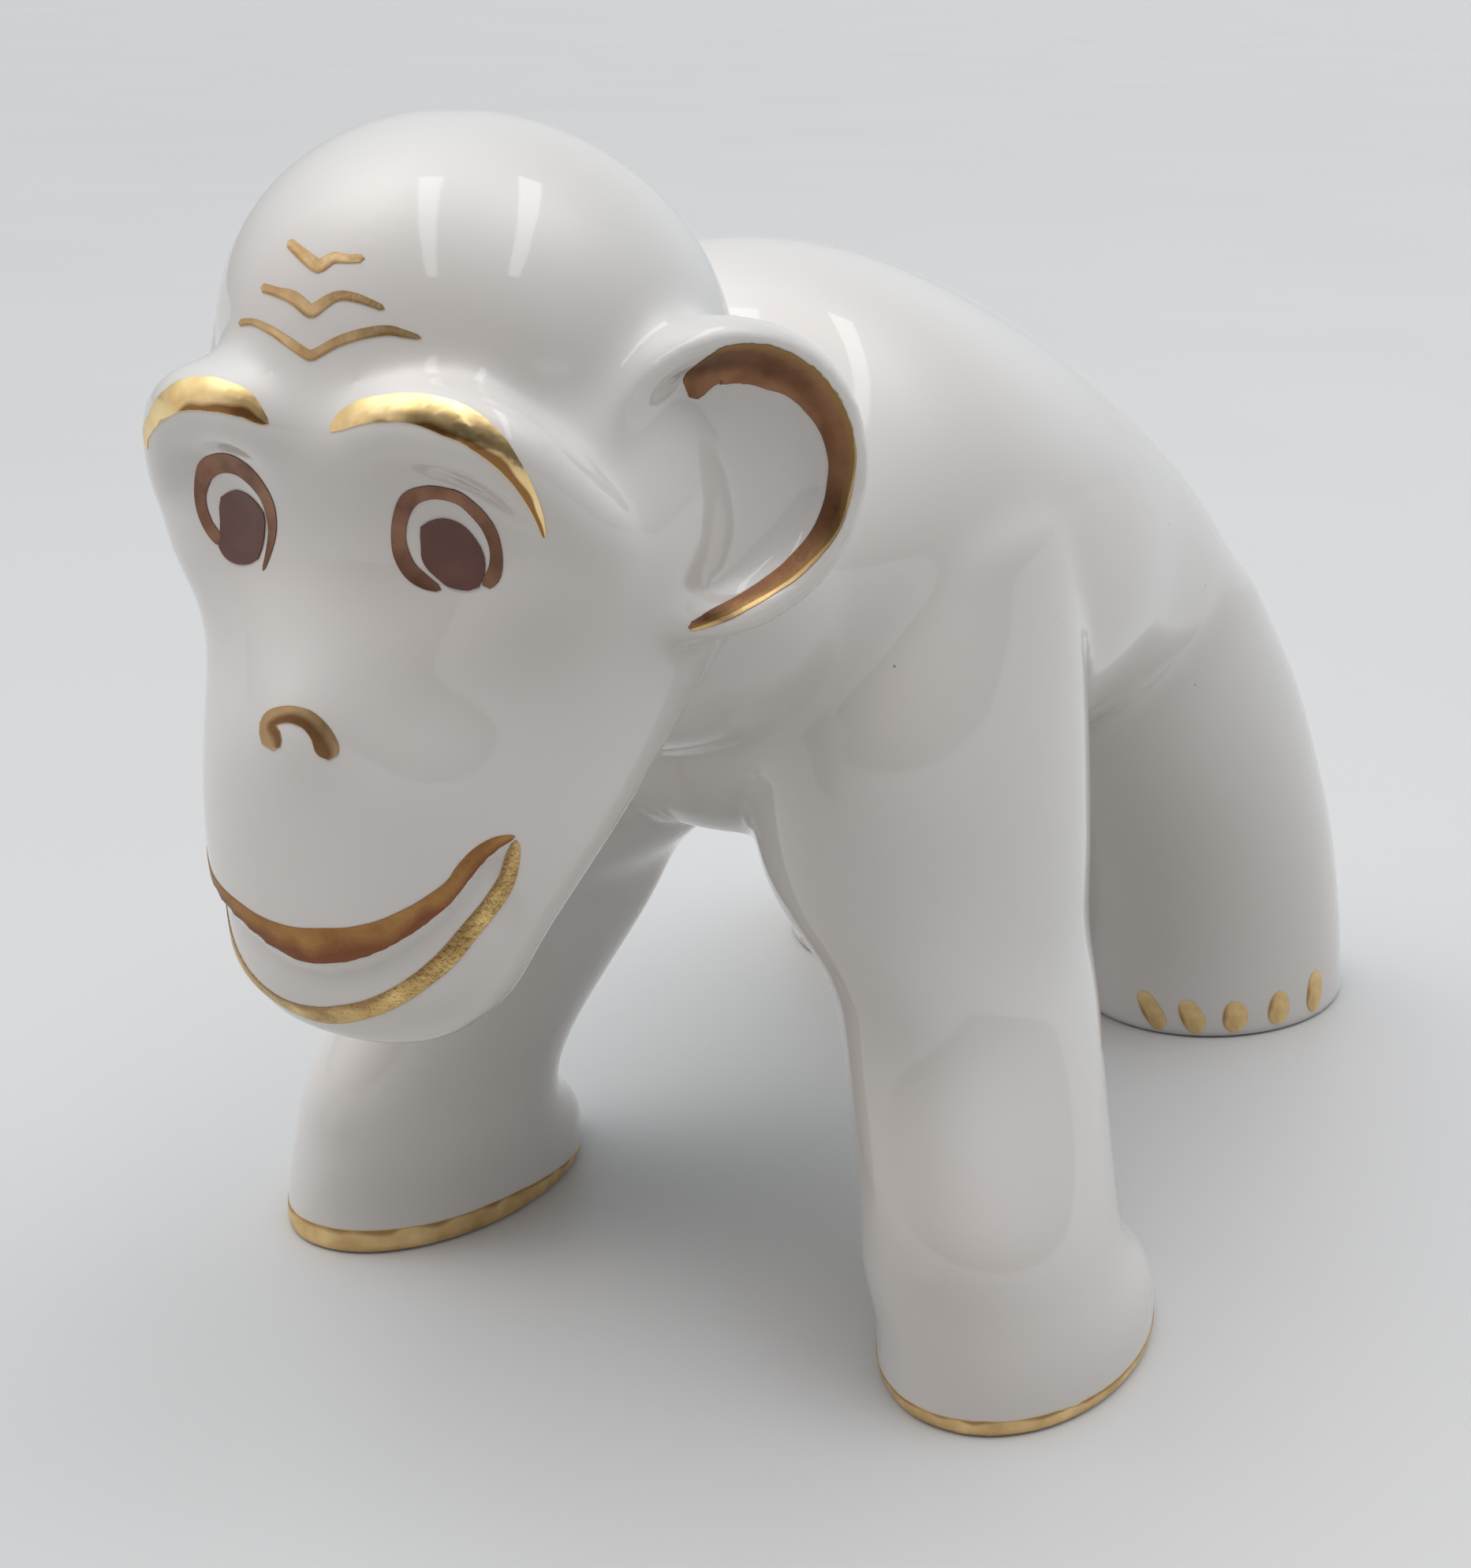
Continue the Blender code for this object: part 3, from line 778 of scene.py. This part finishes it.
# Angle round the ear in degrees from its back, share of its radius, breadth in millimetres
earBand = {
    "rows": (
        (108, 0.530, 1.0), (104, 0.560, 1.9), (99, 0.635, 2.8), (93, 0.690, 3.5), (86, 0.705, 3.75),
        (76, 0.715, 3.7), (62, 0.726, 3.45), (48, 0.745, 2.9), (35, 0.753, 2.45), (22, 0.761, 2.10),
        (9, 0.766, 1.85), (-3, 0.762, 1.62), (-27, 0.763, 1.46), (-51, 0.747, 1.32), (-67, 0.742, 1.16),
        (-82, 0.757, 1.05), (-97, 0.800, 0.95), (-110, 0.887, 0.6),
    ),
}

# Angle from straight ahead in degrees, outwards, and height in millimetres
handBand = {
    "lowest": 0.12,
    "left": (
        (-60, 0.08), (-40, 0.30), (-20, 0.75), (0, 1.05), (20, 1.20), (45, 1.05), (70, 0.85),
        (95, 0.75), (115, 0.50), (130, 0.10),
    ),
    "right": (
        (-140, 0.10), (-120, 0.80), (-100, 1.25), (-75, 1.70), (-45, 1.80), (-15, 1.90), (15, 1.80),
        (45, 1.45), (75, 0.95), (100, 0.55), (125, 0.10),
    ),
}

# Angle as above; lowest, height and breadth in millimetres, and lean in degrees
toeMarks = {
    "rows": (
        (-4, 0.5, 3.4, 1.80, 5), (12, 0.4, 3.2, 1.95, 4), (30, 0.3, 3.25, 2.35, 2), (51, 0.4, 3.6, 2.4, 0),
        (74, 0.8, 4.1, 2.4, 0),
    ),
    "outline": ((0.00, 0.55), (0.22, 0.88), (0.48, 1.00), (0.76, 0.86), (1.00, 0.50)),
}


def faceMarks(ground):
    made = {}
    for word in sides:
        made[f"{word}_brow_gold"] = faceStroke(f"{word}_brow_gold", ground, brows[word])
        made[f"{word}_eye_ring"] = faceStroke(f"{word}_eye_ring", ground, eyeRings[word])
        made[f"{word}_pupil"] = faceStroke(f"{word}_pupil", ground, pupils[word], paint["pupilLift"])
    for word, rows in wrinkles.items():
        made[f"{word}_wrinkle_gold"] = faceStroke(f"{word}_wrinkle_gold", ground, rows)
    made["nostril_gold"] = faceStroke("nostril_gold", ground, nostrils["mark"])
    for word, rows in lipLines.items():
        made[f"{word}_lip_gold"] = faceStroke(f"{word}_lip_gold", ground, rows)
    return made


def earMarks(ground):
    made = {}
    for word, side in sides.items():
        centre, along, up, out = earAxes(side)
        guides = []
        for angle, share, breadth in earBand["rows"]:
            turn = math.radians(angle)
            spoke = (along * math.cos(turn) + up * math.sin(turn)) * share
            guides.append(ground.met(centre + spoke + out * earShape["thickness"], -out))
        breadths = [row[2] / 1000 for row in earBand["rows"]]
        made[f"{word}_ear_gold"] = brushStroke(f"{word}_ear_gold", ground, guides, breadths, side)
    return made


# A place beside a limb's foot, at an angle from straight ahead
def besideFoot(limb, side, angle, height):
    row = limb["rows"][0]
    reach = max(limb["width"] * row[3], limb["length"] * row[4]) / 2
    turn = math.radians(angle)
    x = side * (limb["footSpread"] / 2 + math.sin(turn) * reach)
    y = trunkShape["length"] * limb["topAlong"] - limb["lean"] * row[2] - math.cos(turn) * reach
    return Vector((x, y, height / 1000))


def footMarks(ground):
    made = {}
    for word, side in sides.items():
        guides = []
        for angle, height in handBand[word]:
            guides.append(besideFoot(limbs["foreleg"], side, angle, handBand["lowest"] + height / 2))
        breadths = [row[1] / 1000 for row in handBand[word]]
        made[f"{word}_hand_gold"] = brushStroke(f"{word}_hand_gold", ground, guides, breadths, side)
        for count, (angle, lowest, height, breadth, lean) in enumerate(toeMarks["rows"], 1):
            guides = []
            for share, narrowing in toeMarks["outline"]:
                at = lowest + height * share
                guides.append(besideFoot(limbs["hind_leg"], side, angle - lean * (share - 0.5) * 2, at))
            breadths = [breadth * narrowing / 1000 for share, narrowing in toeMarks["outline"]]
            name = f"{word}_toe_{count}_gold"
            made[name] = brushStroke(name, ground, guides, breadths)
    return made


def newMaterial(name):
    made = bpy.data.materials.new(name)
    made.use_nodes = True
    return made, made.node_tree.nodes, made.node_tree.links, made.node_tree.nodes["Principled BSDF"]


def noiseNode(nodes, links, vector, scale, detail=2.0):
    node = nodes.new("ShaderNodeTexNoise")
    node.inputs["Scale"].default_value = scale
    node.inputs["Detail"].default_value = detail
    links.new(vector, node.inputs["Vector"])
    return node.outputs["Fac"]


def rangeNode(nodes, links, value, low, high, toLow=0.0, toHigh=1.0):
    node = nodes.new("ShaderNodeMapRange")
    for socket, number in zip(("From Min", "From Max", "To Min", "To Max"), (low, high, toLow, toHigh)):
        node.inputs[socket].default_value = number
    links.new(value, node.inputs["Value"])
    return node.outputs["Result"]


def blendNode(nodes, links, share, first, second):
    node = nodes.new("ShaderNodeMix")
    node.data_type = "RGBA"
    links.new(share, node.inputs["Factor"])
    for socket, colour in ((node.inputs[6], first), (node.inputs[7], second)):
        if isinstance(colour, tuple):
            socket.default_value = (*colour, 1)
        else:
            links.new(colour, socket)
    return node.outputs[2]


def bumpNode(nodes, links, height, distance, shader):
    node = nodes.new("ShaderNodeBump")
    node.inputs["Strength"].default_value = 1.0
    node.inputs["Distance"].default_value = distance
    links.new(height, node.inputs["Height"])
    links.new(node.outputs["Normal"], shader.inputs["Normal"])


glaze = {
    "cool": (0.800, 0.797, 0.785),
    "warm": (0.805, 0.780, 0.760),
    "patch": 45,  # patches of tone per metre
    "patchRange": (0.35, 0.65),
    "speck": (0.16, 0.12, 0.10),
    "speckCells": 170,
    "speckSize": 0.022,
    "speckShare": 0.85,
    "wear": 180,
    "wearRange": (0.3, 0.7),
    "roughness": (0.05, 0.11),
    "coat": 0.5,
    "coatRoughness": 0.03,
    "ripple": 0.000006,
    "rippleScale": 210,
}


def whiteGlaze():
    made, nodes, links, shader = newMaterial("white_glaze")
    here = nodes.new("ShaderNodeTexCoord").outputs["Object"]
    patches = noiseNode(nodes, links, here, glaze["patch"], detail=1.0)
    patches = rangeNode(nodes, links, patches, *glaze["patchRange"])
    tone = blendNode(nodes, links, patches, glaze["cool"], glaze["warm"])
    cells = nodes.new("ShaderNodeTexVoronoi")
    cells.inputs["Scale"].default_value = glaze["speckCells"]
    links.new(here, cells.inputs["Vector"])
    size = glaze["speckSize"]
    speck = rangeNode(nodes, links, cells.outputs["Distance"], size / 2, size, glaze["speckShare"], 0.0)
    links.new(blendNode(nodes, links, speck, tone, glaze["speck"]), shader.inputs["Base Color"])
    wear = noiseNode(nodes, links, here, glaze["wear"], detail=3.0)
    worn = rangeNode(nodes, links, wear, *glaze["wearRange"], *glaze["roughness"])
    links.new(worn, shader.inputs["Roughness"])
    shader.inputs["Coat Weight"].default_value = glaze["coat"]
    shader.inputs["Coat Roughness"].default_value = glaze["coatRoughness"]
    ripples = noiseNode(nodes, links, here, glaze["rippleScale"], detail=1.0)
    bumpNode(nodes, links, ripples, glaze["ripple"], shader)
    return made


biscuit = {
    "colour": (0.66, 0.64, 0.60),
    "worn": (0.50, 0.47, 0.43),
    "scuff": 240,
    "scuffRange": (0.45, 0.75),
    "grain": 2600,
    "grainDepth": 0.00002,
    "roughness": 0.75,
}


# The ground soles carry no glaze
def biscuitChina():
    made, nodes, links, shader = newMaterial("biscuit_sole")
    here = nodes.new("ShaderNodeTexCoord").outputs["Object"]
    scuffs = noiseNode(nodes, links, here, biscuit["scuff"], detail=4.0)
    scuffs = rangeNode(nodes, links, scuffs, *biscuit["scuffRange"])
    colour = blendNode(nodes, links, scuffs, biscuit["colour"], biscuit["worn"])
    links.new(colour, shader.inputs["Base Color"])
    shader.inputs["Roughness"].default_value = biscuit["roughness"]
    bumpNode(nodes, links, noiseNode(nodes, links, here, biscuit["grain"]), biscuit["grainDepth"], shader)
    return made


# Bright gold where the brush left much and duller where it is thin. Sides are other tones towards
# one side of the stroke: a colour, and where it starts and is full as shares of the half breadth.
# The brow's and the nostril's side tones are painted dark reflection, and the ear's yellow one is
# a painted highlight.
golds = {
    "brow_gold": {
        "bright": (0.96, 0.76, 0.40), "dull": (0.84, 0.60, 0.27),
        # Painted dark reflection along the brow's lower edge, widening along the stroke
        "sides": (((0.30, 0.15, 0.055), -1.3, -1.6),),
        "creep": -1.15, "uneven": 0.5, "roughness": 0.20, "rough": 0.05, "wave": 0.0002, "crinkle": 0.0,
    },
    "wrinkle_gold": {
        "bright": (0.80, 0.59, 0.32), "dull": (0.54, 0.35, 0.165),
        "sides": (((0.40, 0.23, 0.10), -0.3, -1.0),),
        "creep": 0.0, "uneven": 0.5, "roughness": 0.34, "rough": 0.14, "wave": 0.00005, "crinkle": 0.5,
    },
    "nostril_gold": {
        "bright": (0.60, 0.42, 0.23), "dull": (0.46, 0.30, 0.15),
        # Painted dark reflection on one side of the nostril mark, widening along it
        "sides": (((0.24, 0.125, 0.055), 0.0, -0.6),),
        "creep": -1.0, "uneven": 0.3, "roughness": 0.36, "rough": 0.14, "wave": 0.00003, "crinkle": 0.3,
    },
    "upper_lip_gold": {
        "bright": (0.42, 0.23, 0.085), "dull": (0.32, 0.155, 0.056),
        "sides": (((0.215, 0.086, 0.044), 0.3, -0.6),),
        "creep": 0.0, "uneven": 0.6, "roughness": 0.38, "rough": 0.14, "wave": 0.00005, "crinkle": 0.8,
    },
    "lower_lip_gold": {
        "bright": (0.80, 0.57, 0.24), "dull": (0.40, 0.25, 0.095),
        "sides": (((0.36, 0.22, 0.09), 0.2, 0.9),),
        "creep": 0.0, "uneven": 0.5, "roughness": 0.24, "rough": 0.10, "wave": 0.00014, "crinkle": 1.6,
    },
    "ear_gold": {
        "bright": (0.28, 0.145, 0.080), "dull": (0.205, 0.100, 0.055),
        # The yellow second tone along the outer edge of the band is a painted highlight
        "sides": (((0.27, 0.165, 0.065), 0.75, 1.1), ((0.70, 0.48, 0.23), 1.28, 1.42)),
        "creep": 0.35, "uneven": 0.08, "roughness": 0.36, "rough": 0.14, "wave": 0.00003, "crinkle": 0.1,
    },
    "toe_gold": {
        "bright": (0.92, 0.69, 0.36), "dull": (0.70, 0.48, 0.22),
        "sides": (((0.42, 0.26, 0.12), 0.6, 1.0),),
        "creep": 0.0, "uneven": 0.5, "roughness": 0.40, "rough": 0.14, "wave": 0.00006, "crinkle": 0.6,
    },
    "eye_copper": {
        "bright": (0.31, 0.170, 0.108), "dull": (0.175, 0.090, 0.062),
        "sides": (),
        "creep": 0.0, "uneven": 0.5, "roughness": 0.42, "rough": 0.14, "wave": 0.00002, "crinkle": 0.1,
    },
}

# What all the golds share, on the brush map; the edge is in millimetres
goldBrush = {
    "along": 5.0,
    "aside": 2.4,
    "lean": 0.7,
    "waveRange": (0.3, 0.7),
    "patch": 4.0,
    "patchRange": (0.35, 0.65),
    "wear": 34.0,
    "wearRange": (0.3, 0.75),
    "edge": 0.05,
}


def attributeNode(nodes, name):
    node = nodes.new("ShaderNodeAttribute")
    node.attribute_name = name
    return node.outputs["Fac"]


# first plus second times number
def addNode(nodes, links, first, second, number):
    node = nodes.new("ShaderNodeMath")
    node.operation = "MULTIPLY_ADD"
    links.new(second, node.inputs[0])
    node.inputs[1].default_value = number
    links.new(first, node.inputs[2])
    return node.outputs["Value"]


def brushedGold(name):
    gold = golds[name]
    made, nodes, links, shader = newMaterial(name)
    brush = nodes.new("ShaderNodeUVMap")
    brush.uv_map = "brush"
    drawn = nodes.new("ShaderNodeMapping")
    drawn.inputs["Scale"].default_value = (goldBrush["along"], goldBrush["aside"], 1)
    drawn.inputs["Rotation"].default_value = (0, 0, goldBrush["lean"])
    links.new(brush.outputs["UV"], drawn.inputs["Vector"])
    waves = noiseNode(nodes, links, drawn.outputs["Vector"], 1.0, detail=0.0)
    patches = noiseNode(nodes, links, brush.outputs["UV"], goldBrush["patch"])
    patches = rangeNode(nodes, links, patches, *goldBrush["patchRange"])
    wear = noiseNode(nodes, links, brush.outputs["UV"], goldBrush["wear"], detail=3.0)
    colour = blendNode(nodes, links, patches, gold["dull"], gold["bright"])
    along = nodes.new("ShaderNodeSeparateXYZ")
    links.new(brush.outputs["UV"], along.inputs["Vector"])
    most = gold["uneven"] / 2
    uneven = rangeNode(nodes, links, waves, *goldBrush["waveRange"], -most, most)
    aside = addNode(nodes, links, attributeNode(nodes, "sideShare"), uneven, 1.0)
    aside = addNode(nodes, links, aside, along.outputs["X"], gold["creep"])
    # Side tones, among them painted dark reflection and a painted highlight
    for tone, start, full in gold["sides"]:
        colour = blendNode(nodes, links, rangeNode(nodes, links, aside, start, full), colour, tone)
    inside = rangeNode(nodes, links, attributeNode(nodes, "toEdge"), 0.0, goldBrush["edge"])
    links.new(blendNode(nodes, links, inside, gold["dull"], colour), shader.inputs["Base Color"])
    shader.inputs["Metallic"].default_value = 1.0
    smoothest = gold["roughness"]
    rough = rangeNode(nodes, links, wear, *goldBrush["wearRange"], smoothest, smoothest + gold["rough"])
    links.new(rough, shader.inputs["Roughness"])
    bumpNode(nodes, links, addNode(nodes, links, waves, wear, gold["crinkle"]), gold["wave"], shader)
    return made


enamel = {
    "dark": (0.132, 0.054, 0.042),
    "light": (0.165, 0.071, 0.057),
    "mottle": 5.0,
    "mottleRange": (0.35, 0.7),
    "mottleDepth": 0.00001,
    "roughness": 0.42,
}


def brownEnamel():
    made, nodes, links, shader = newMaterial("brown_enamel")
    brush = nodes.new("ShaderNodeUVMap")
    brush.uv_map = "brush"
    mottle = noiseNode(nodes, links, brush.outputs["UV"], enamel["mottle"], detail=4.0)
    share = rangeNode(nodes, links, mottle, *enamel["mottleRange"])
    links.new(blendNode(nodes, links, share, enamel["dark"], enamel["light"]), shader.inputs["Base Color"])
    shader.inputs["Roughness"].default_value = enamel["roughness"]
    bumpNode(nodes, links, mottle, enamel["mottleDepth"], shader)
    return made


skinMesh = meltedSkin()
carveFace(skinMesh)
fillHips(skinMesh)
skin = groundedSkin(skinMesh)
print("skin of", len(skin.faces), "faces")
ground = Ground(skin)
marks = {**faceMarks(ground), **earMarks(ground), **footMarks(ground)}
print("painted marks", len(marks))
castings = makeCastings(skin)
print("castings", len(castings))

# The finished figurine stands with the middle of its whole length over the origin
backs = [v.co.y for v in skin.verts]
stand = Matrix.Translation((0, -(min(backs) + max(backs)) / 2, 0))
china, sole = whiteGlaze(), biscuitChina()
for node, piece in castings.items():
    piece.data.transform(stand)
    piece.data.materials.append(china)
    piece.data.materials.append(sole)
    for face in piece.data.polygons:
        if face.center.z < casting["soleFlat"]:
            face.material_index = 1
    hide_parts(node)
    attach(piece, "root")

golden = {name: brushedGold(name) for name in golds}
pupilPaint = brownEnamel()
kinds = {
    "brow": "brow_gold",
    "wrinkle": "wrinkle_gold",
    "nostril": "nostril_gold",
    "upper_lip": "upper_lip_gold",
    "lower_lip": "lower_lip_gold",
    "ear": "ear_gold",
    "hand": "toe_gold",
    "toe": "toe_gold",
    "eye": "eye_copper",
}
for name, piece in marks.items():
    piece.data.transform(stand)
    isPupil = "pupil" in name
    kind = next((kind for word, kind in kinds.items() if word in name), None)
    piece.data.materials.append(pupilPaint if isPupil else golden[kind])
    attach(piece, "root")

table = {
    "half": 12.0,
    "colour": (0.675, 0.683, 0.692),
    "tone": (0.655, 0.662, 0.671),
    "bounce": (0.47, 0.455, 0.435),  # what the glaze gets back from it
    "mottle": 9.0,
    "mottleRange": (0.3, 0.7),
    "roughness": 0.42,
}


def layTable():
    bm = bmesh.new()
    bmesh.ops.create_grid(bm, x_segments=1, y_segments=1, size=table["half"])
    piece = newPiece("table_top", bm)
    made, nodes, links, shader = newMaterial("table_paint")
    here = nodes.new("ShaderNodeTexCoord").outputs["Object"]
    tone = noiseNode(nodes, links, here, table["mottle"], detail=3.0)
    tone = rangeNode(nodes, links, tone, *table["mottleRange"])
    seen = blendNode(nodes, links, tone, table["colour"], table["tone"])
    path = nodes.new("ShaderNodeLightPath")
    shown = blendNode(nodes, links, path.outputs["Is Diffuse Ray"], seen, table["bounce"])
    links.new(shown, shader.inputs["Base Color"])
    shader.inputs["Roughness"].default_value = table["roughness"]
    piece.data.materials.append(made)


layTable()

# Two long lamps overhead and the soft glows of a room: degrees round from the front, as the view's,
# degrees up, and how tightly each is gathered
lamps = {
    "strips": (
        {"start": (-0.11, -0.02), "end": (0.226, -0.80), "breadth": 0.085},
        {"start": (0.11, 0.25), "end": (0.68, -0.38), "breadth": 0.09},
    ),
    "stripHeight": 0.65,
    "stripGlow": 1.6,
    "glows": (
        {"azimuth": 164, "elevation": 15, "gather": 5, "colour": (0.62, 0.66, 0.70)},
        {"azimuth": 215, "elevation": 5, "gather": 4, "colour": (0.50, 0.50, 0.51)},
        {"azimuth": 29, "elevation": 10, "gather": 2, "colour": (0.08, 0.075, 0.07)},
        {"azimuth": 299, "elevation": 15, "gather": 5, "colour": (0.78, 0.70, 0.68)},
        {"azimuth": 89, "elevation": 52, "gather": 5, "colour": (0.60, 0.58, 0.59)},
        {"azimuth": 269, "elevation": 52, "gather": 5, "colour": (0.46, 0.63, 0.68)},
        {"azimuth": 119, "elevation": 60, "gather": 14, "colour": (0.95, 1.05, 1.00)},
        {"azimuth": 299, "elevation": 60, "gather": 14, "colour": (1.66, 1.52, 1.42)},
        {"azimuth": 0, "elevation": 90, "gather": 6, "colour": (1.10, 1.00, 1.00)},
    ),
    "backdrop": (0.74, 0.75, 0.75),
}


# One glow's light in the looked-at direction, added to the light so far
def glowNode(nodes, links, way, glow, sofar):
    turn, up = math.radians(glow["azimuth"]), math.radians(glow["elevation"])
    toGlow = Vector((math.cos(up) * math.sin(turn), -math.cos(up) * math.cos(turn), math.sin(up)))
    facing = nodes.new("ShaderNodeVectorMath")
    facing.operation = "DOT_PRODUCT"
    facing.inputs[1].default_value = toGlow
    links.new(way, facing.inputs[0])
    ahead = rangeNode(nodes, links, facing.outputs["Value"], 0.0, 1.0)
    share = nodes.new("ShaderNodeMath")
    share.operation = "POWER"
    share.inputs[1].default_value = glow["gather"]
    links.new(ahead, share.inputs[0])
    added = nodes.new("ShaderNodeVectorMath")
    added.operation = "MULTIPLY_ADD"
    links.new(share.outputs["Value"], added.inputs[0])
    added.inputs[1].default_value = glow["colour"]
    if sofar:
        links.new(sofar, added.inputs[2])
    return added.outputs["Vector"]


def paintRoom():
    room = bpy.data.worlds.new("room")
    room.use_nodes = True
    nodes, links = room.node_tree.nodes, room.node_tree.links
    way = nodes.new("ShaderNodeTexCoord").outputs["Generated"]
    light = None
    for glow in lamps["glows"]:
        light = glowNode(nodes, links, way, glow, light)
    path = nodes.new("ShaderNodeLightPath")
    seen = blendNode(nodes, links, path.outputs["Is Camera Ray"], light, lamps["backdrop"])
    links.new(seen, nodes["Background"].inputs["Color"])
    bpy.context.scene.world = room
    bpy.context.scene.view_settings.view_transform = "Standard"


def hangLamps():
    collection = bpy.context.scene.collection
    for count, strip in enumerate(lamps["strips"], 1):
        start, end = Vector(strip["start"]), Vector(strip["end"])
        lamp = bpy.data.lights.new(f"strip_{count}", "AREA")
        lamp.shape = "RECTANGLE"
        lamp.size = (end - start).length
        lamp.size_y = strip["breadth"]
        lamp.energy = lamps["stripGlow"] * math.pi * lamp.size * lamp.size_y
        lampObject = bpy.data.objects.new(f"strip_{count}", lamp)
        lampObject.location = (*((start + end) / 2), lamps["stripHeight"])
        lampObject.rotation_euler = (0, 0, math.atan2((end - start).y, (end - start).x))
        collection.objects.link(lampObject)


paintRoom()
hangLamps()

# Where the photographer stood: degrees round from the front, down on it and of tilt, and
# millimetres of lens and of film
view = {
    "place": (0.08407, -0.16758, 0.09369),
    "azimuth": 28.663,
    "elevation": 18.373,
    "roll": 0.283,
    "lens": 59.77,
    "film": 36,
    "nearest": 0.01,
}


def setCamera():
    camera = bpy.data.objects.new("camera", bpy.data.cameras.new("camera"))
    bpy.context.scene.collection.objects.link(camera)
    bpy.context.scene.camera = camera
    turned = Matrix.Rotation(math.radians(view["azimuth"]), 4, "Z")
    turned @= Matrix.Rotation(math.radians(90 - view["elevation"]), 4, "X")
    turned @= Matrix.Rotation(math.radians(view["roll"]), 4, "Z")
    camera.matrix_world = Matrix.Translation(view["place"]) @ turned
    camera.data.lens = view["lens"]
    camera.data.sensor_width = view["film"]
    camera.data.clip_start = view["nearest"]


setCamera()
print("table, lamps and camera set")
